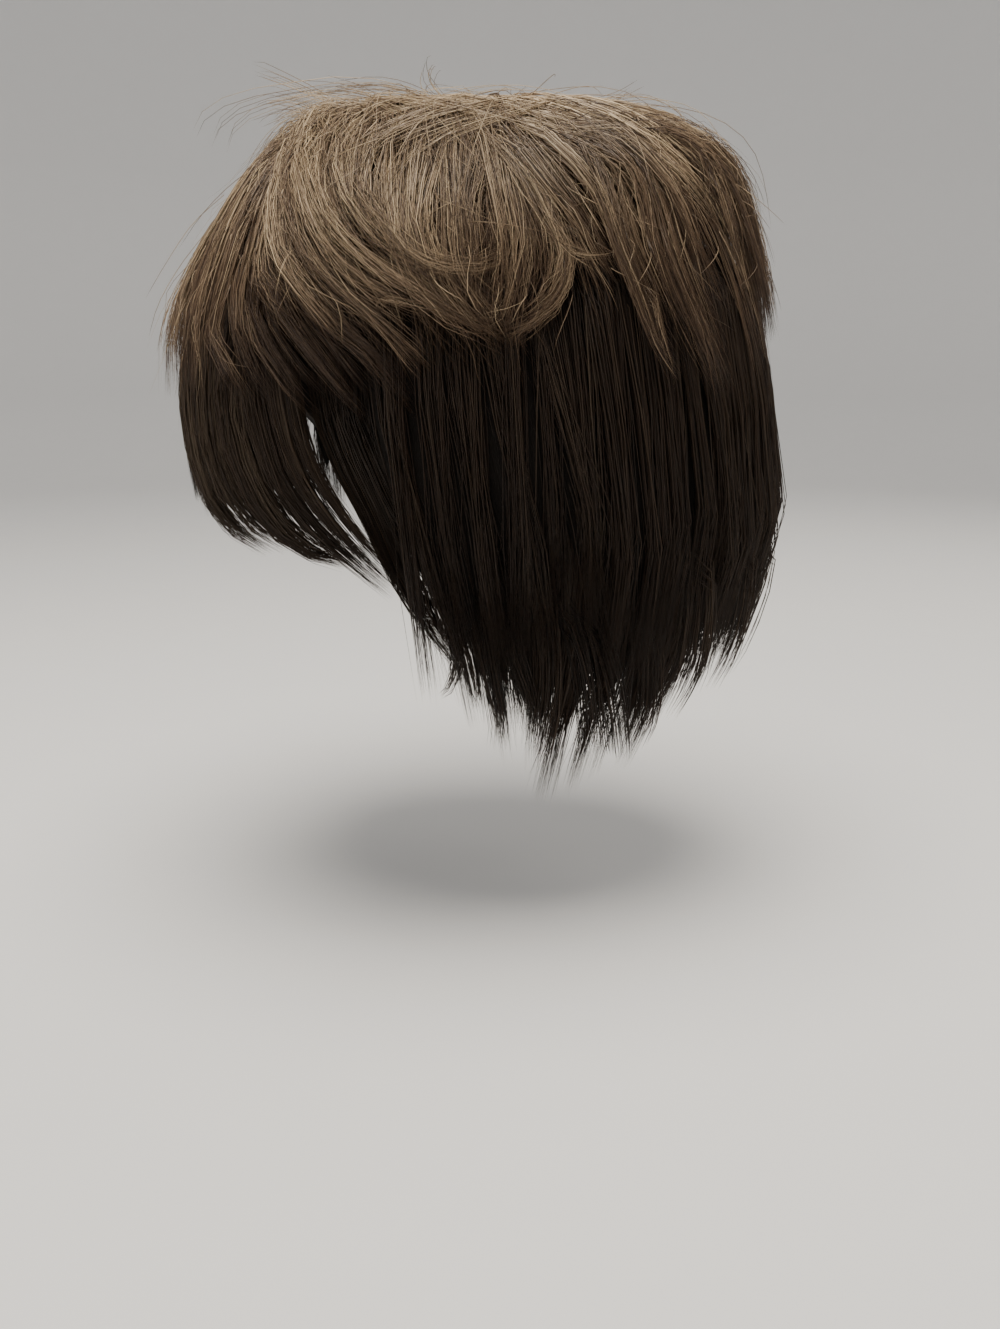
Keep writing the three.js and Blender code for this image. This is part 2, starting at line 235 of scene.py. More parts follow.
# Swept locks of the top layer on one side: half widths at the root and the tip in millimetres, how
# much lighter the lock is, then points from its root to its tip as azimuths and section rows.
SWEPT_LOCKS = (
    (6, 4, 0.12, (3, 2.3), (5, 3.0), (6, 3.7), (8, 4.4), (10, 4.9), (12, 5.3)),
    (6, 4, 0.14, (14, 2.3), (14, 3.0), (13, 3.7), (13, 4.4), (16, 5.0), (20, 5.6)),
    (5.5, 3, 0.15, (25, 2.28), (24, 2.92), (20, 3.46), (20, 3.96), (18, 4.42), (23, 4.84),
     (26, 5.28), (30, 5.8)),
    (4.5, 1.8, 0.05, (28, 2.48), (32, 3.3), (32, 3.92), (34, 4.38), (36, 4.84), (37, 5.26), (38, 5.88)),
    (3.5, 1.2, -0.15, (37, 2.84), (42, 3.58), (42, 4.08), (44, 4.48), (45, 4.86), (44, 5.2),
     (50, 5.54), (56, 5.92)),
    (2, 0.6, -0.08, (42, 2.5), (44, 3.22), (46, 3.86), (49, 4.36), (50, 4.76), (52, 5.12), (56, 5.36)),
    (4.5, 2, 0.1, (38, 2.7), (50, 3.62), (52, 4.16), (54, 4.52), (58, 4.72), (65, 4.96)),
    (5, 2, 0.16, (44, 2.4), (46, 3.06), (52, 3.82), (58, 4.34), (64, 4.64), (71, 4.98), (76, 5.3)),
    (5, 2, 0.18, (46, 2.86), (56, 3.58), (64, 4.08), (70, 4.4), (77, 4.7), (84, 4.88), (90, 5.0)),
    (5.5, 2.2, 0.18, (48, 2.4), (53, 3.1), (62, 3.72), (69, 4.16), (76, 4.46), (82, 4.66), (88, 4.8)),
    (5.5, 2.2, 0.16, (56, 2.4), (60, 3.22), (66, 3.8), (72, 4.18), (79, 4.46), (84, 4.66),
     (89, 4.84), (92, 5.06)),
    (5.5, 2.5, 0.04, (46, 2.4), (50, 3.24), (59, 4.02), (67, 4.5), (74, 4.8), (80, 5.06),
     (85, 5.34), (88, 5.56)),
    (5, 2, 0.15, (62, 2.4), (65, 3.16), (70, 3.74), (75, 4.1), (80, 4.4), (86, 4.62), (90, 4.8)),
    (3, 0.8, 0.25, (79, 3.44), (80, 3.94), (82, 4.26), (86, 4.44), (90, 4.54), (93, 4.54),
     (96, 4.44), (98, 4.32)),
    (6.5, 2, 0.14, (70, 2.4), (72, 3.18), (74, 3.76), (79, 4.14), (84, 4.42), (88, 4.58), (92, 4.66)),
    (6.5, 2, 0.14, (78, 2.5), (80, 3.5), (82, 4.16), (84, 4.54), (86, 4.82), (90, 5.06),
     (94, 5.22), (98, 5.42)),
    (5.5, 2, 0.14, (86, 2.5), (85, 3.5), (84, 4.06), (86, 4.46), (88, 4.74), (91, 5.02), (95, 5.26)),
    (5, 2, 0.05, (90, 2.4), (90, 3.36), (90, 3.96), (90, 4.42), (91, 4.74), (94, 5.02), (96, 5.26)),
    (6, 2.4, 0, (94, 2.4), (94, 3.36), (93, 3.96), (94, 4.42), (94, 4.8), (96, 5.16)),
    (6.5, 2.2, 0.05, (96, 2.4), (97, 3.3), (98, 3.9), (99, 4.36), (98, 4.74), (97, 5.06), (96, 5.26)),
    (4, 1.5, 0.15, (98, 3.04), (102, 3.64), (105, 4.12), (107, 4.46), (106, 4.74), (104, 4.98),
     (100, 5.18), (96, 5.3)),
    (6.5, 2.4, 0.05, (98, 2.4), (100, 3.2), (102, 3.82), (104, 4.26), (104, 4.58), (102, 4.86), (98, 5.12)),
    (4.5, 1.5, 0.2, (94, 2.58), (98, 3.2), (102, 3.7), (104, 4.12), (107, 4.42), (112, 4.54)),
    (6.5, 3.5, 0.08, (98, 2.52), (102, 3.12), (106, 3.64), (110, 4.04), (113, 4.38), (116, 4.68)),
    (7, 4, 0.02, (104, 2.52), (108, 3.06), (113, 3.56), (116, 3.98), (118, 4.4), (120, 4.78)),
    (7, 4, -0.12, (110, 2.54), (114, 3.1), (116, 3.74), (117, 4.3), (120, 4.78), (122, 5.18), (127, 5.62)),
    (7.5, 4.5, -0.22, (116, 2.58), (120, 3.14), (124, 3.64), (124, 4.24), (126, 4.68),
     (130, 5.18), (136, 5.8)),
    (7.5, 4.5, -0.25, (123, 2.52), (126, 3.28), (128, 3.88), (129, 4.42), (132, 4.88),
     (135, 5.28), (139, 5.78)),
    (7, 4, -0.18, (126, 2.5), (138, 2.6), (145, 3.0), (146, 3.54), (146, 4.06), (146, 4.46)),
    (7, 4, -0.06, (114, 2.46), (123, 2.72), (128, 3.24), (133, 3.74), (136, 4.18), (138, 4.56)),
    (7, 4, -0.1, (132, 2.48), (144, 2.92), (150, 3.46), (156, 3.86), (158, 4.2)),
    (7, 4.5, -0.26, (140, 2.4), (149, 3.1), (154, 3.7), (157, 4.3), (160, 4.8), (162, 5.2)),
    (7, 4.5, -0.22, (152, 2.3), (160, 2.9), (165, 3.5), (168, 4.1), (170, 4.6), (171, 5.0)),
    (7, 4.5, -0.24, (167, 2.3), (172, 2.9), (175, 3.5), (177, 4.1), (178, 4.7), (179, 5.3)),
    (6, 4.5, -0.2, (177, 2.2), (179, 2.8), (180, 3.4), (181, 4.0), (182, 4.5), (183, 4.9)),
)

# Darker locks under the swept ones at the temple, partly the darker under hair and partly painted shade of
# the hollow beneath the swept locks, the locks that end the fringe on the left, and the front locks of the
# lower side layer, all given in the same way.
TEMPLE_LOCKS = (
    (6, 4, -0.3, (36, 2.86), (46, 3.76), (50, 4.38), (52, 4.84), (58, 5.28), (64, 5.66), (70, 6.0)),
    (6.5, 4, -0.3, (42, 3.0), (50, 3.84), (56, 4.44), (62, 4.9), (69, 5.3), (74, 5.64), (79, 5.98)),
    (6.5, 4, -0.3, (48, 3.12), (56, 3.92), (62, 4.54), (70, 4.98), (78, 5.3), (82, 5.64), (86, 5.98)),
    (6, 4, -0.28, (41, 3.4), (44, 4.08), (48, 4.64), (51, 5.1), (56, 5.54), (62, 5.9)),
    (7, 5, -0.26, (25, 3.0), (26, 3.6), (26, 4.2), (27, 4.7), (29, 5.2), (33, 5.8)),
)
FRINGE_END_LOCKS = (
    (6.5, 1.2, 0.34, (18, 4.26), (17, 4.72), (21, 5.3), (26, 6.08), (31, 6.58), (36, 6.98),
     (43, 7.2), (52, 7.36)),
    (7.5, 1.4, 0.26, (34, 4.34), (36, 4.86), (37, 5.52), (39, 6.26), (43, 6.76), (50, 7.1), (58, 7.3)),
    (7, 1.5, 0.14, (45, 4.5), (46, 5.08), (46, 5.82), (49, 6.38), (53, 6.82), (58, 7.14),
     (64, 7.32), (71, 7.4)),
    (7, 2.4, -0.05, (52, 4.52), (52, 5.08), (54, 5.72), (57, 6.22), (60, 6.64), (65, 6.98),
     (71, 7.28), (80, 7.7)),
    (5.5, 3, -0.05, (57, 4.58), (58, 5.08), (60, 5.6), (62, 6.1), (65, 6.54), (69, 6.88),
     (74, 7.24), (80, 7.6)),
)
SIDE_FRONT_LOCKS = (
    (6.5, 2.5, 0.05, (66, 4.9), (67, 5.54), (70, 6.16), (73, 6.58), (76, 6.94), (78, 7.28),
     (81, 7.7), (86, 8.12), (92, 8.6)),
    (4.2, 2, 0, (72, 5.02), (72, 5.72), (76, 6.36), (79, 6.82), (82, 7.16), (84, 7.48), (88, 7.9), (93, 8.8)),
    (6, 3, 0, (77, 5.12), (79, 5.94), (82, 6.56), (86, 7.12), (88, 7.6), (91, 8.22), (94, 9.1)),
)

# The tips along the lower edge, at the side, at the back and at the nape, given in the same way.
SIDE_TIP_LOCKS = (
    (3.5, 0.8, 0.1, (88, 7.36), (89, 7.76), (90, 8.16), (90, 8.48), (88, 8.7), (86, 8.76)),
    (4, 1, 0.1, (90, 7.46), (90, 7.96), (92, 8.38), (93, 8.7), (94, 8.92)),
    (4.5, 1, 0.1, (92, 7.66), (94, 8.16), (96, 8.7), (98, 9.06), (98, 9.28)),
    (4.5, 1.2, 0.05, (98, 7.76), (100, 8.28), (103, 8.7), (105, 8.96), (105, 9.16)),
    (4.5, 1.2, 0.15, (106, 7.76), (107, 8.28), (108, 8.78), (108, 9.1), (108, 9.34)),
    (2, 0.5, 0.1, (108, 8.1), (109, 8.6), (110, 9.02), (110, 9.3), (108, 9.56)),
)
BACK_TIP_LOCKS = (
    (5, 2, 0, (136, 7.6), (139, 8.1), (142, 8.56), (144, 8.9)),
    (5.5, 2.2, 0, (150, 7.6), (153, 8.12), (156, 8.62), (158, 9.0)),
    (5.5, 2.2, 0, (164, 7.6), (167, 8.12), (169, 8.62), (170, 8.98)),
    (4.5, 2, 0, (176, 7.6), (178, 8.1), (179, 8.56), (180, 8.86)),
)
NAPE_TIP_LOCKS = (
    (4.5, 1.2, 0, (112, 7.98), (116, 8.52), (120, 9.02), (126, 9.46)),
    (5, 2, 0, (117, 8.0), (122, 8.56), (128, 9.06), (134, 9.36), (138, 9.5)),
    (5.5, 2.5, 0, (130, 7.84), (134, 8.34), (139, 8.88), (144, 9.24), (146, 9.46)),
    (5.5, 2.5, 0, (144, 7.72), (152, 8.2), (160, 8.72), (164, 9.1), (165, 9.36)),
)

# Light wisps that lie over the swept locks, given in the same way.
LIGHT_WISPS = (
    (2.4, 0.8, 0.35, (80, 3.8), (81, 4.04), (82, 4.3), (85, 4.46), (89, 4.56), (93, 4.56),
     (96, 4.48), (99, 4.34)),
    (2, 0.8, 0.3, (102, 3.7), (105, 4.2), (107, 4.5), (106, 4.78), (103, 5.0), (99, 5.2), (96, 5.3)),
    (1.2, 0.6, 0.25, (82, 4.9), (86, 4.96), (90, 5.02)),
    (1.2, 0.8, 0.25, (105, 4.34), (108, 4.48), (112, 4.5), (118, 4.44)),
    (1.2, 1.2, 0, (122, 4.88), (123, 5.18), (124, 5.4), (126, 5.62)),
    (1.2, 1, 0.1, (108, 4.24), (110, 4.54), (112, 4.8), (113, 5.06)),
)

# Light locks along the top edge, from the crown to the front, given in the same way: partly the lighter top
# hair, and partly painted light where the top edge catches the light from above.
TOP_LIGHT_LOCKS = (
    (4.5, 7, 0.3, (112, 1.2), (104, 1.75), (95, 2.2), (86, 2.54), (77, 2.82), (70, 3.12), (65, 3.5)),
    (2.5, 7, 0.2, (122, 1.3), (112, 1.85), (103, 2.3), (94, 2.66), (86, 3.02), (80, 3.4), (76, 3.8)),
    (4.5, 7, 0.34, (102, 1.1), (95, 1.65), (87, 2.1), (78, 2.46), (70, 2.76), (63, 3.1), (58, 3.5)),
)

# Thin tufts that stand away from the top, as points in millimetres.
LOOSE_STRANDS = (
    ((25, -34, -4), (25, -43, 1), (25, -54, 5), (25, -62, 5), (25, -66, 2)),
    ((22, -38, -1), (22, -47, 4), (22, -56, 7), (22, -64, 8)),
    ((18, -29, -3), (18, -39, 3), (18, -49, 8), (18, -58, 10)),
    ((-5, -23, 12), (-5, -38, 15), (-5, -53, 16), (-5, -67, 14)),
    ((-15, -13, 12), (-15, -27, 17), (-15, -43, 18), (-15, -57, 17)),
    ((15, 81, -16), (15, 90, -21), (15, 99, -27), (15, 104, -35)),
    ((30, 76, -24), (30, 86, -28), (30, 96, -32), (30, 100, -32)),
    ((20, 82, -13), (20, 92, -18), (20, 100, -25), (20, 105, -31)),
    ((5, 67, 6), (5, 82, 2), (5, 94, -5), (5, 101, -12)),
    ((5, -73, -11), (5, -83, -20), (5, -92, -31), (5, -99, -43)),
    ((-5, -87, -20), (-5, -97, -31), (-5, -105, -45), (-5, -111, -58)),
    ((10, -93, -36), (10, -101, -48), (10, -108, -62), (10, -111, -75)),
    ((20, -7, 9), (20, -21, 14), (20, -38, 16), (20, -56, 14), (20, -73, 11), (20, -85, 6), (20, -90, -2)),
    ((5, -42, 9), (5, -52, 14), (5, -62, 18), (5, -73, 22)),
    ((30, -30, 4), (30, -46, 8), (30, -57, 5), (30, -66, 2)),
    ((0, -3, 9), (0, -16, 15), (0, -30, 17), (0, -47, 14)),
    ((10, -4, 8), (10, -11, 15), (10, -9, 21)),
    ((15, 3, 7), (15, 14, 9), (15, 22, 14)),
    ((-10, 36, 9), (-10, 45, 12), (-10, 55, 14), (-10, 62, 17)),
    ((25, -21, 5), (25, -31, 10), (25, -42, 12)),
    ((-15, 21, 9), (-15, 2, 16), (-15, -9, 17)),
)


def smooth(t):
    """An even start and stop between 0 and 1."""
    t = np.clip(t, 0, 1)
    return t * t * (3 - 2 * t)


def unit(vectors):
    """The same directions with a length of one."""
    return vectors / (np.linalg.norm(vectors, axis=-1, keepdims=True) + 1e-12)


def through(values, at, before=None, after=None):
    """A smooth curve through evenly spaced values, read at places counted from the first one."""
    values = np.asarray(values, float)
    last = len(values) - 1
    before = 2 * values[0] - values[1] if before is None else before
    after = 2 * values[last] - values[last - 1] if after is None else after
    at = np.clip(at, 0, last)
    i = np.minimum(at.astype(int), last - 1)
    t = at - i
    ends = np.concatenate([[before], values, [after]])
    p0, p1, p2, p3 = (ends[i + k] for k in range(4))
    slope_a = (p2 - p0) / 2
    slope_b = (p3 - p1) / 2
    cubic = 2 * p1 - 2 * p2 + slope_a + slope_b
    square = -3 * p1 + 3 * p2 - 2 * slope_a - slope_b
    return ((cubic * t + square) * t + slope_a) * t + p1


def section_value(row, name):
    """One column of the section table at any row."""
    values = SECTIONS[name]
    before = values[1] if name.endswith("_z") else -values[1]
    return through(values, row, before, values[-1])


def wig_point(azimuth, row, depth):
    """Points in metres from azimuths in degrees, section rows and depths."""
    azimuth, row, depth = np.broadcast_arrays(*(np.asarray(v, float) for v in (azimuth, row, depth)))
    angle = np.radians(azimuth)
    across = np.sign(np.sin(angle)) * np.abs(np.sin(angle)) ** (2 / ROUNDNESS)
    along = np.sign(np.cos(angle)) * np.abs(np.cos(angle)) ** (2 / ROUNDNESS)

    def reach(part):
        inner = section_value(row, f"cap_{part}")
        return inner + (section_value(row, f"hair_{part}") - inner) * depth

    y = -np.where(along > 0, reach("front"), reach("back")) * along
    return np.stack([reach("side") * across, y, reach("z")], -1) * MM


def depth_at(layer, row, share):
    """The depth of a layer at a row, from its inner side (0) to its outer side (1)."""
    table = DEPTHS[layer]
    low = np.interp(row, table["row"], table["low"])
    high = np.interp(row, table["row"], table["high"])
    return low + (high - low) * share


def lock_table(rows):
    """Locks as named columns of numbers."""
    return dict(zip(LOCK_COLUMNS, np.array(rows, float).T))


def spread(n, turn):
    """A repeatable spread between -1 and 1 for lock number n, from two waves that never fall in step."""
    return np.sin(n * 2.399 + turn) * 0.6 + np.sin(n * 5.13 + turn * 1.7) * 0.4


def even_locks(start, end, count, root, tip, tip_spread, half, lean, turn):
    """Locks set evenly round the back, leaning towards its middle."""
    n = np.arange(count)
    azimuth = start + (end - start) * n / (count - 1)
    to_back = np.clip((180 - azimuth) / 90, -1, 1)
    return {
        "azimuth": azimuth,
        "lean": lean * to_back + spread(n, turn),
        "root": np.full(count, float(root)),
        "tip": tip + tip_spread * spread(n, turn),
        "half": np.full(count, float(half)),
    }


def ring_locks(count, root, tip, tip_spread, half, lean, turn):
    """Locks all round the crown, combed to the back, shorter over the temples and at the back."""
    n = np.arange(count)
    azimuth = 360 * (n + 0.5) / count - 180 + 2.5 * spread(n, turn + 1)
    angle = np.abs(azimuth)
    combed = np.sign(azimuth) * np.interp(angle, CROWN_COMB["azimuth"], CROWN_COMB["lean"])
    middle, width, temple = SHORT_TEMPLE
    start, rise, back = SHORT_BACK
    short = temple * np.exp(-(((angle - middle) / width) ** 2)) + back * smooth((angle - start) / rise)
    return {
        "azimuth": azimuth,
        "lean": combed + lean * spread(n, turn + 2.2),
        "root": root + 0.3 * spread(n, turn + 4),
        "tip": tip + tip_spread * spread(n, turn + 0.4) - (tip - root) * short,
        "half": np.full(count, float(half)),
    }


class Wire:
    """A socket of a finish, whose sums and products add Math nodes."""

    def __init__(self, finish, socket):
        self.finish = finish
        self.socket = socket

    def math(self, operation, first, second):
        return self.finish.add("ShaderNodeMath", {"operation": operation}, {0: first, 1: second})["Value"]

    def __add__(self, other):
        return self.math("ADD", self, other)

    def __sub__(self, other):
        return self.math("SUBTRACT", self, other)

    def __mul__(self, other):
        return self.math("MULTIPLY", self, other)

    def __pow__(self, other):
        return self.math("POWER", self, other)

    def __rsub__(self, other):
        return self.math("SUBTRACT", other, self)

    def __rpow__(self, other):
        return self.math("POWER", other, self)

    __radd__ = __add__
    __rmul__ = __mul__


class Finish:
    """A material and the nodes that make its surface."""

    def __init__(self, name):
        self.material = bpy.data.materials.new(name)
        self.material.use_nodes = True
        self.tree = self.material.node_tree
        self.surface = self.tree.nodes["Principled BSDF"]

    def add(self, kind, settings=None, sockets=None):
        """A node of any type, with its settings first and then its sockets' values or links."""
        node = self.tree.nodes.new(kind)
        for key, value in (settings or {}).items():
            if key == "stops":
                self.set_stops(node.color_ramp, value)
            else:
                setattr(node, key, value)
        self.feed(node, sockets or {})
        return {out.name: Wire(self, out) for out in node.outputs if out.enabled}

    def set_stops(self, ramp, stops):
        while len(ramp.elements) < len(stops):
            ramp.elements.new(1)
        for element, (place, colour) in zip(ramp.elements, stops):
            element.position = place
            element.color = paint(colour)

    def feed(self, node, sockets):
        for key, value in sockets.items():
            if isinstance(value, Wire):
                self.tree.links.new(value.socket, node.inputs[key])
            else:
                node.inputs[key].default_value = value

    def set(self, **sockets):
        self.feed(self.surface, {key.replace("_", " "): value for key, value in sockets.items()})

    def mix(self, factor, first, second, blend="MIX"):
        """Two colours mixed by a factor."""
        node = self.tree.nodes.new("ShaderNodeMix")
        node.data_type = "RGBA"
        node.blend_type = blend
        self.feed(node, {0: factor, 6: first, 7: second})
        return Wire(self, node.outputs[2])

    def map_parts(self):
        """The two values of the strand map."""
        place = self.add("ShaderNodeUVMap", {"uv_map": STRAND_MAP})["UV"]
        parts = self.add("ShaderNodeSeparateXYZ", None, {0: place})
        return parts["X"], parts["Y"]

    def ramp(self, value, low, high, to_low=0.0, to_high=1.0):
        """A value eased from one range into another."""
        sockets = {"Value": value, "From Min": low, "From Max": high, "To Min": to_low, "To Max": to_high}
        return self.add("ShaderNodeMapRange", {"interpolation_type": "SMOOTHSTEP"}, sockets)["Result"]

    def noise(self, across, along, detail):
        """Flat noise at a place given by two values."""
        place = self.add("ShaderNodeCombineXYZ", None, {0: across, 1: along})["Vector"]
        sockets = {"Vector": place, "Scale": 1.0, "Detail": detail}
        return self.add("ShaderNodeTexNoise", {"noise_dimensions": "2D"}, sockets)["Fac"]

    def bump(self, height, strength, distance):
        """A normal that follows a height."""
        sockets = {"Strength": strength, "Distance": distance, "Height": height}
        return self.add("ShaderNodeBump", None, sockets)["Normal"]


def paint(colour, shade=1.0):
    """A colour times a shade, with its alpha."""
    return (*(part * shade for part in colour), 1)


def core_finish(name, hair):
    """The dense middle of a lock: the darkest strand colour as painted shade deep in the hair, darker in its
    grooves along its fall as painted shade between fibres, and lighter near the crown, partly for the lighter
    top hair and partly as painted light.
    """
    finish = Finish(name)
    level = finish.add("ShaderNodeSeparateXYZ", None, {0: finish.add("ShaderNodeTexCoord")["Object"]})["Z"]
    # Partly painted light: the core turns lighter towards the crown, where the top is lit and the top hair is
    # lighter.
    near_crown = finish.ramp(level, CROWN_LEVEL, 0.0)
    turn, fall = finish.map_parts()
    groove = finish.noise(turn * GROOVES[0], fall * GROOVES[1], 2.0)
    # Painted shade: the grooves between the fibres are darkened to two fifths of the darkest colour.
    fibre = finish.mix(groove, paint(hair.dark, 0.4), paint(hair.dark))
    finish.set(
        Base_Color=finish.mix(near_crown, fibre, paint(hair.middle, 0.6)),
        Roughness=0.8,
        Specular_IOR_Level=0.15,
        Normal=finish.bump(groove, strength=0.8, distance=0.001),
    )
    return finish.material


def hair_finish(name, hair):
    """Fibre whose tone runs across the map and whose length runs up it."""
    finish = Finish(name)
    tone, along = finish.map_parts()
    streak = finish.noise(tone * STREAKS[0], along * STREAKS[1], 0.0)
    shade = finish.add(
        "ShaderNodeValToRGB",
        {"stops": [(0.0, hair.dark), (0.5, hair.middle), (1.0, hair.light)]},
        {0: tone + (streak - 0.5) * STREAK_DEPTH},
    )["Color"]
    hue = finish.noise(tone * HUES[0], along * HUES[1], 0.0)
    warm = finish.mix((hue - WARM_FROM) * hair.warmth, shade, paint(hair.warm))
    # Painted shade: the roots, which lie under other hair, are darkened.
    root = finish.ramp(along, 0.0, ROOT_END, hair.painted_root_shade, 1.0)
    # The tips are darkened partly as their own darker, redder colour and partly as painted shade on the lower
    # hair, away from the light above.
    light = root * finish.ramp(along, TIP_START, 1.0, 1.0, hair.tip_tone_and_shade)
    tints = {0: light, 1: light**GREEN_FALL, 2: light**BLUE_FALL}
    along_shade = finish.add("ShaderNodeCombineColor", None, tints)["Color"]
    finish.set(
        Base_Color=finish.mix(1.0, warm, along_shade, "MULTIPLY"),
        Roughness=hair.roughness,
        Specular_IOR_Level=hair.gloss,
    )
    return finish.material


def cap_finish(name, cap):
    """Knitted net with sewn rows."""
    finish = Finish(name)
    turn, fall = finish.map_parts()

    def wave(value, count):
        angle = value * (2 * math.pi * count)
        return finish.add("ShaderNodeMath", {"operation": "SINE"}, {0: angle})["Value"]

    knit = wave(turn, WALES) * wave(fall, COURSES) * 0.5 + 0.5
    seam = finish.ramp(wave(fall, SEWN_ROWS), *SEAM_EDGES)
    cloth = finish.mix(knit, paint(cap.shadow), paint(cap.cloth))
    finish.set(
        Base_Color=finish.mix(seam * 0.7, cloth, paint(cap.thread)),
        Roughness=0.88,
        Normal=finish.bump(knit * 0.4 + seam, strength=0.6, distance=0.0006),
    )
    return finish.material


def stage_finish(name, colour):
    """A plain pale floor."""
    finish = Finish(name)
    place = finish.add("ShaderNodeTexCoord")["Object"]
    grain = finish.add("ShaderNodeTexNoise", None, {"Vector": place, "Scale": 40.0, "Detail": 0.0})["Fac"]
    finish.set(
        Base_Color=finish.mix(grain * 0.06, paint(colour), paint(colour, 0.8)),
        Roughness=0.8,
    )
    return finish.material


def add_piece(name, mesh, material, node):
    """Links a finished mesh as a piece that stands for a node of the frame."""
    mesh.materials.append(material)
    piece = bpy.data.objects.new(name, mesh)
    bpy.context.scene.collection.objects.link(piece)
    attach(piece, "root")
    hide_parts(node)


def new_bmesh():
    """An empty bmesh with the map that its finish reads."""
    shape = bmesh.new()
    return shape, shape.loops.layers.uv.new(STRAND_MAP)


def mesh_from(shape, name):
    """A smooth mesh from a bmesh, which is freed."""
    bmesh.ops.remove_doubles(shape, verts=shape.verts, dist=1e-6)
    bmesh.ops.recalc_face_normals(shape, faces=shape.faces)
    mesh = bpy.data.meshes.new(name)
    shape.to_mesh(mesh)
    shape.free()
    mesh.shade_smooth()
    return mesh


def add_ball(shape, uv, columns, rings, move, map_uv):
    """A ball whose points are moved by their turn round it (0 to 1) and their way down it (0 to 1)."""
    made = bmesh.ops.create_uvsphere(shape, u_segments=columns, v_segments=rings, radius=1, calc_uvs=True)
    verts = made["verts"]
    place = np.array([v.co for v in verts])
    down = np.arccos(np.clip(place[:, 2], -1, 1)) / math.pi
    turn = np.arctan2(place[:, 1], place[:, 0])
    for vert, point in zip(verts, move(turn, down)):
        vert.co = point
    for face in {f for v in verts for f in v.link_faces}:
        for loop in face.loops:
            loop[uv].uv = map_uv(*loop[uv].uv)


def add_lock_core(shape, uv, layer, azimuth, lean, root, tip, half):
    """The dense middle of one lock, drawn out to a point."""

    def move(turn, down):
        row = root + (tip - root) * down * 0.9
        full = np.minimum(1, down * 5) * (1 - down**4)
        ends = np.where((down < 1e-4) | (down > 1 - 1e-4), 0, 1)
        share = 0.3 + 0.25 * np.sin(turn) * np.minimum(1, full * 1.5) * ends
        heading = azimuth + lean * down**1.8 + np.cos(turn) * half * full * 0.9 * ends
        return wig_point(heading, row, depth_at(layer, row, share))

    add_ball(shape, uv, *CORE_GRID, move, lambda u, v: (u, 1 - v))


def add_dome_core(shape, uv, layer, bottom):
    """The dense middle of the crown, a shell over the top of the cap."""

    def move(turn, down):
        row = bottom * (1 - np.abs(2 * down - 1))
        share = np.where(down < 0.5, 0.28, 0.05)
        return wig_point(np.degrees(turn), row, depth_at(layer, row, share))

    add_ball(shape, uv, *DOME_GRID, move, lambda u, v: (u, 1 - v))


def strand_lines(
    layer, locks, count, rng, hair, steps, low=0.15, high=1.0, root_spread=0.5, rise=0.25, ragged=0.6,
    lighter=0.0, wisps=4, gather=0.92,
):
    """Centre lines of the strands of a layer, gathered in wisps to their tips, with each strand's tone, which
    is darker deeper in the layer as painted shade.
    """
    weight = locks["half"] * (locks["tip"] - locks["root"])
    pick = rng.choice(len(weight), count, p=weight / weight.sum())
    lock = {key: column[pick][:, None] for key, column in locks.items()}
    t = np.linspace(0, 1, steps + 1)[None, :]

    def one(lowest, highest):
        return rng.uniform(lowest, highest, (count, 1))

    across = one(-1, 1)
    wisp = np.floor((across + 1) / 2 * wisps).astype(int)
    centre = (wisp + 0.5) / wisps * 2 - 1
    own = across - centre
    tuft = pick[:, None] * wisps + wisp
    tufts = len(weight) * wisps

    def by_tuft(size):
        return (rng.standard_normal(tufts) * size)[tuft]

    root = lock["root"] + one(-0.1, root_spread)
    reach = by_tuft(TUFT_REACH) + rng.normal(*STRAND_REACH, (count, 1)) - EDGE_SHORTER * np.abs(across)
    tip = lock["tip"] + np.minimum(reach, LONGEST_REACH) * ragged
    row = root + (tip - root) * t
    narrow = 1 - (1 - hair.clump) * smooth(t * 1.1 - 0.1)
    loose = np.where(one(0, 1) < LOOSE_SHARE, LOOSENESS, 1.0)
    stray = rng.normal(0, 0.1, (count, 1)) * loose * t**2
    wave = np.sin(2 * math.pi * (t * one(0.4, 1.0) + one(0, 1)))
    turn = lock["azimuth"] + (lock["lean"] + by_tuft(TUFT_TURN)) * t**1.6
    turn = turn + lock["half"] * (centre * narrow + own * (1 - gather * smooth(t)) + stray)
    turn = turn + hair.sway * wave * loose * t
    share = low + (high - low) * rng.beta(1.8, 1.1, (count, 1)) + by_tuft(TUFT_DEPTH)
    share = share + (0.55 - share) * (gather - 0.4) * t**2
    lift = 0.05 * loose * np.sin(2 * math.pi * (t * one(0.5, 0.9) + one(0, 1))) * t
    depth = depth_at(layer, row, np.clip(share * smooth(t * 4 + rise) + lift, 0, 1.1))
    # Painted shade: strands that lie deeper in the layer get a darker tone.
    tone = USUAL_TONE + STRAND_TONE * rng.standard_normal(count) + DEPTH_SHADE * (share[:, 0] - 0.6)
    tone = tone + by_tuft(TUFT_TONE)[:, 0]
    return wig_point(turn, row, depth), np.clip(tone + lighter, *TONE_ENDS)


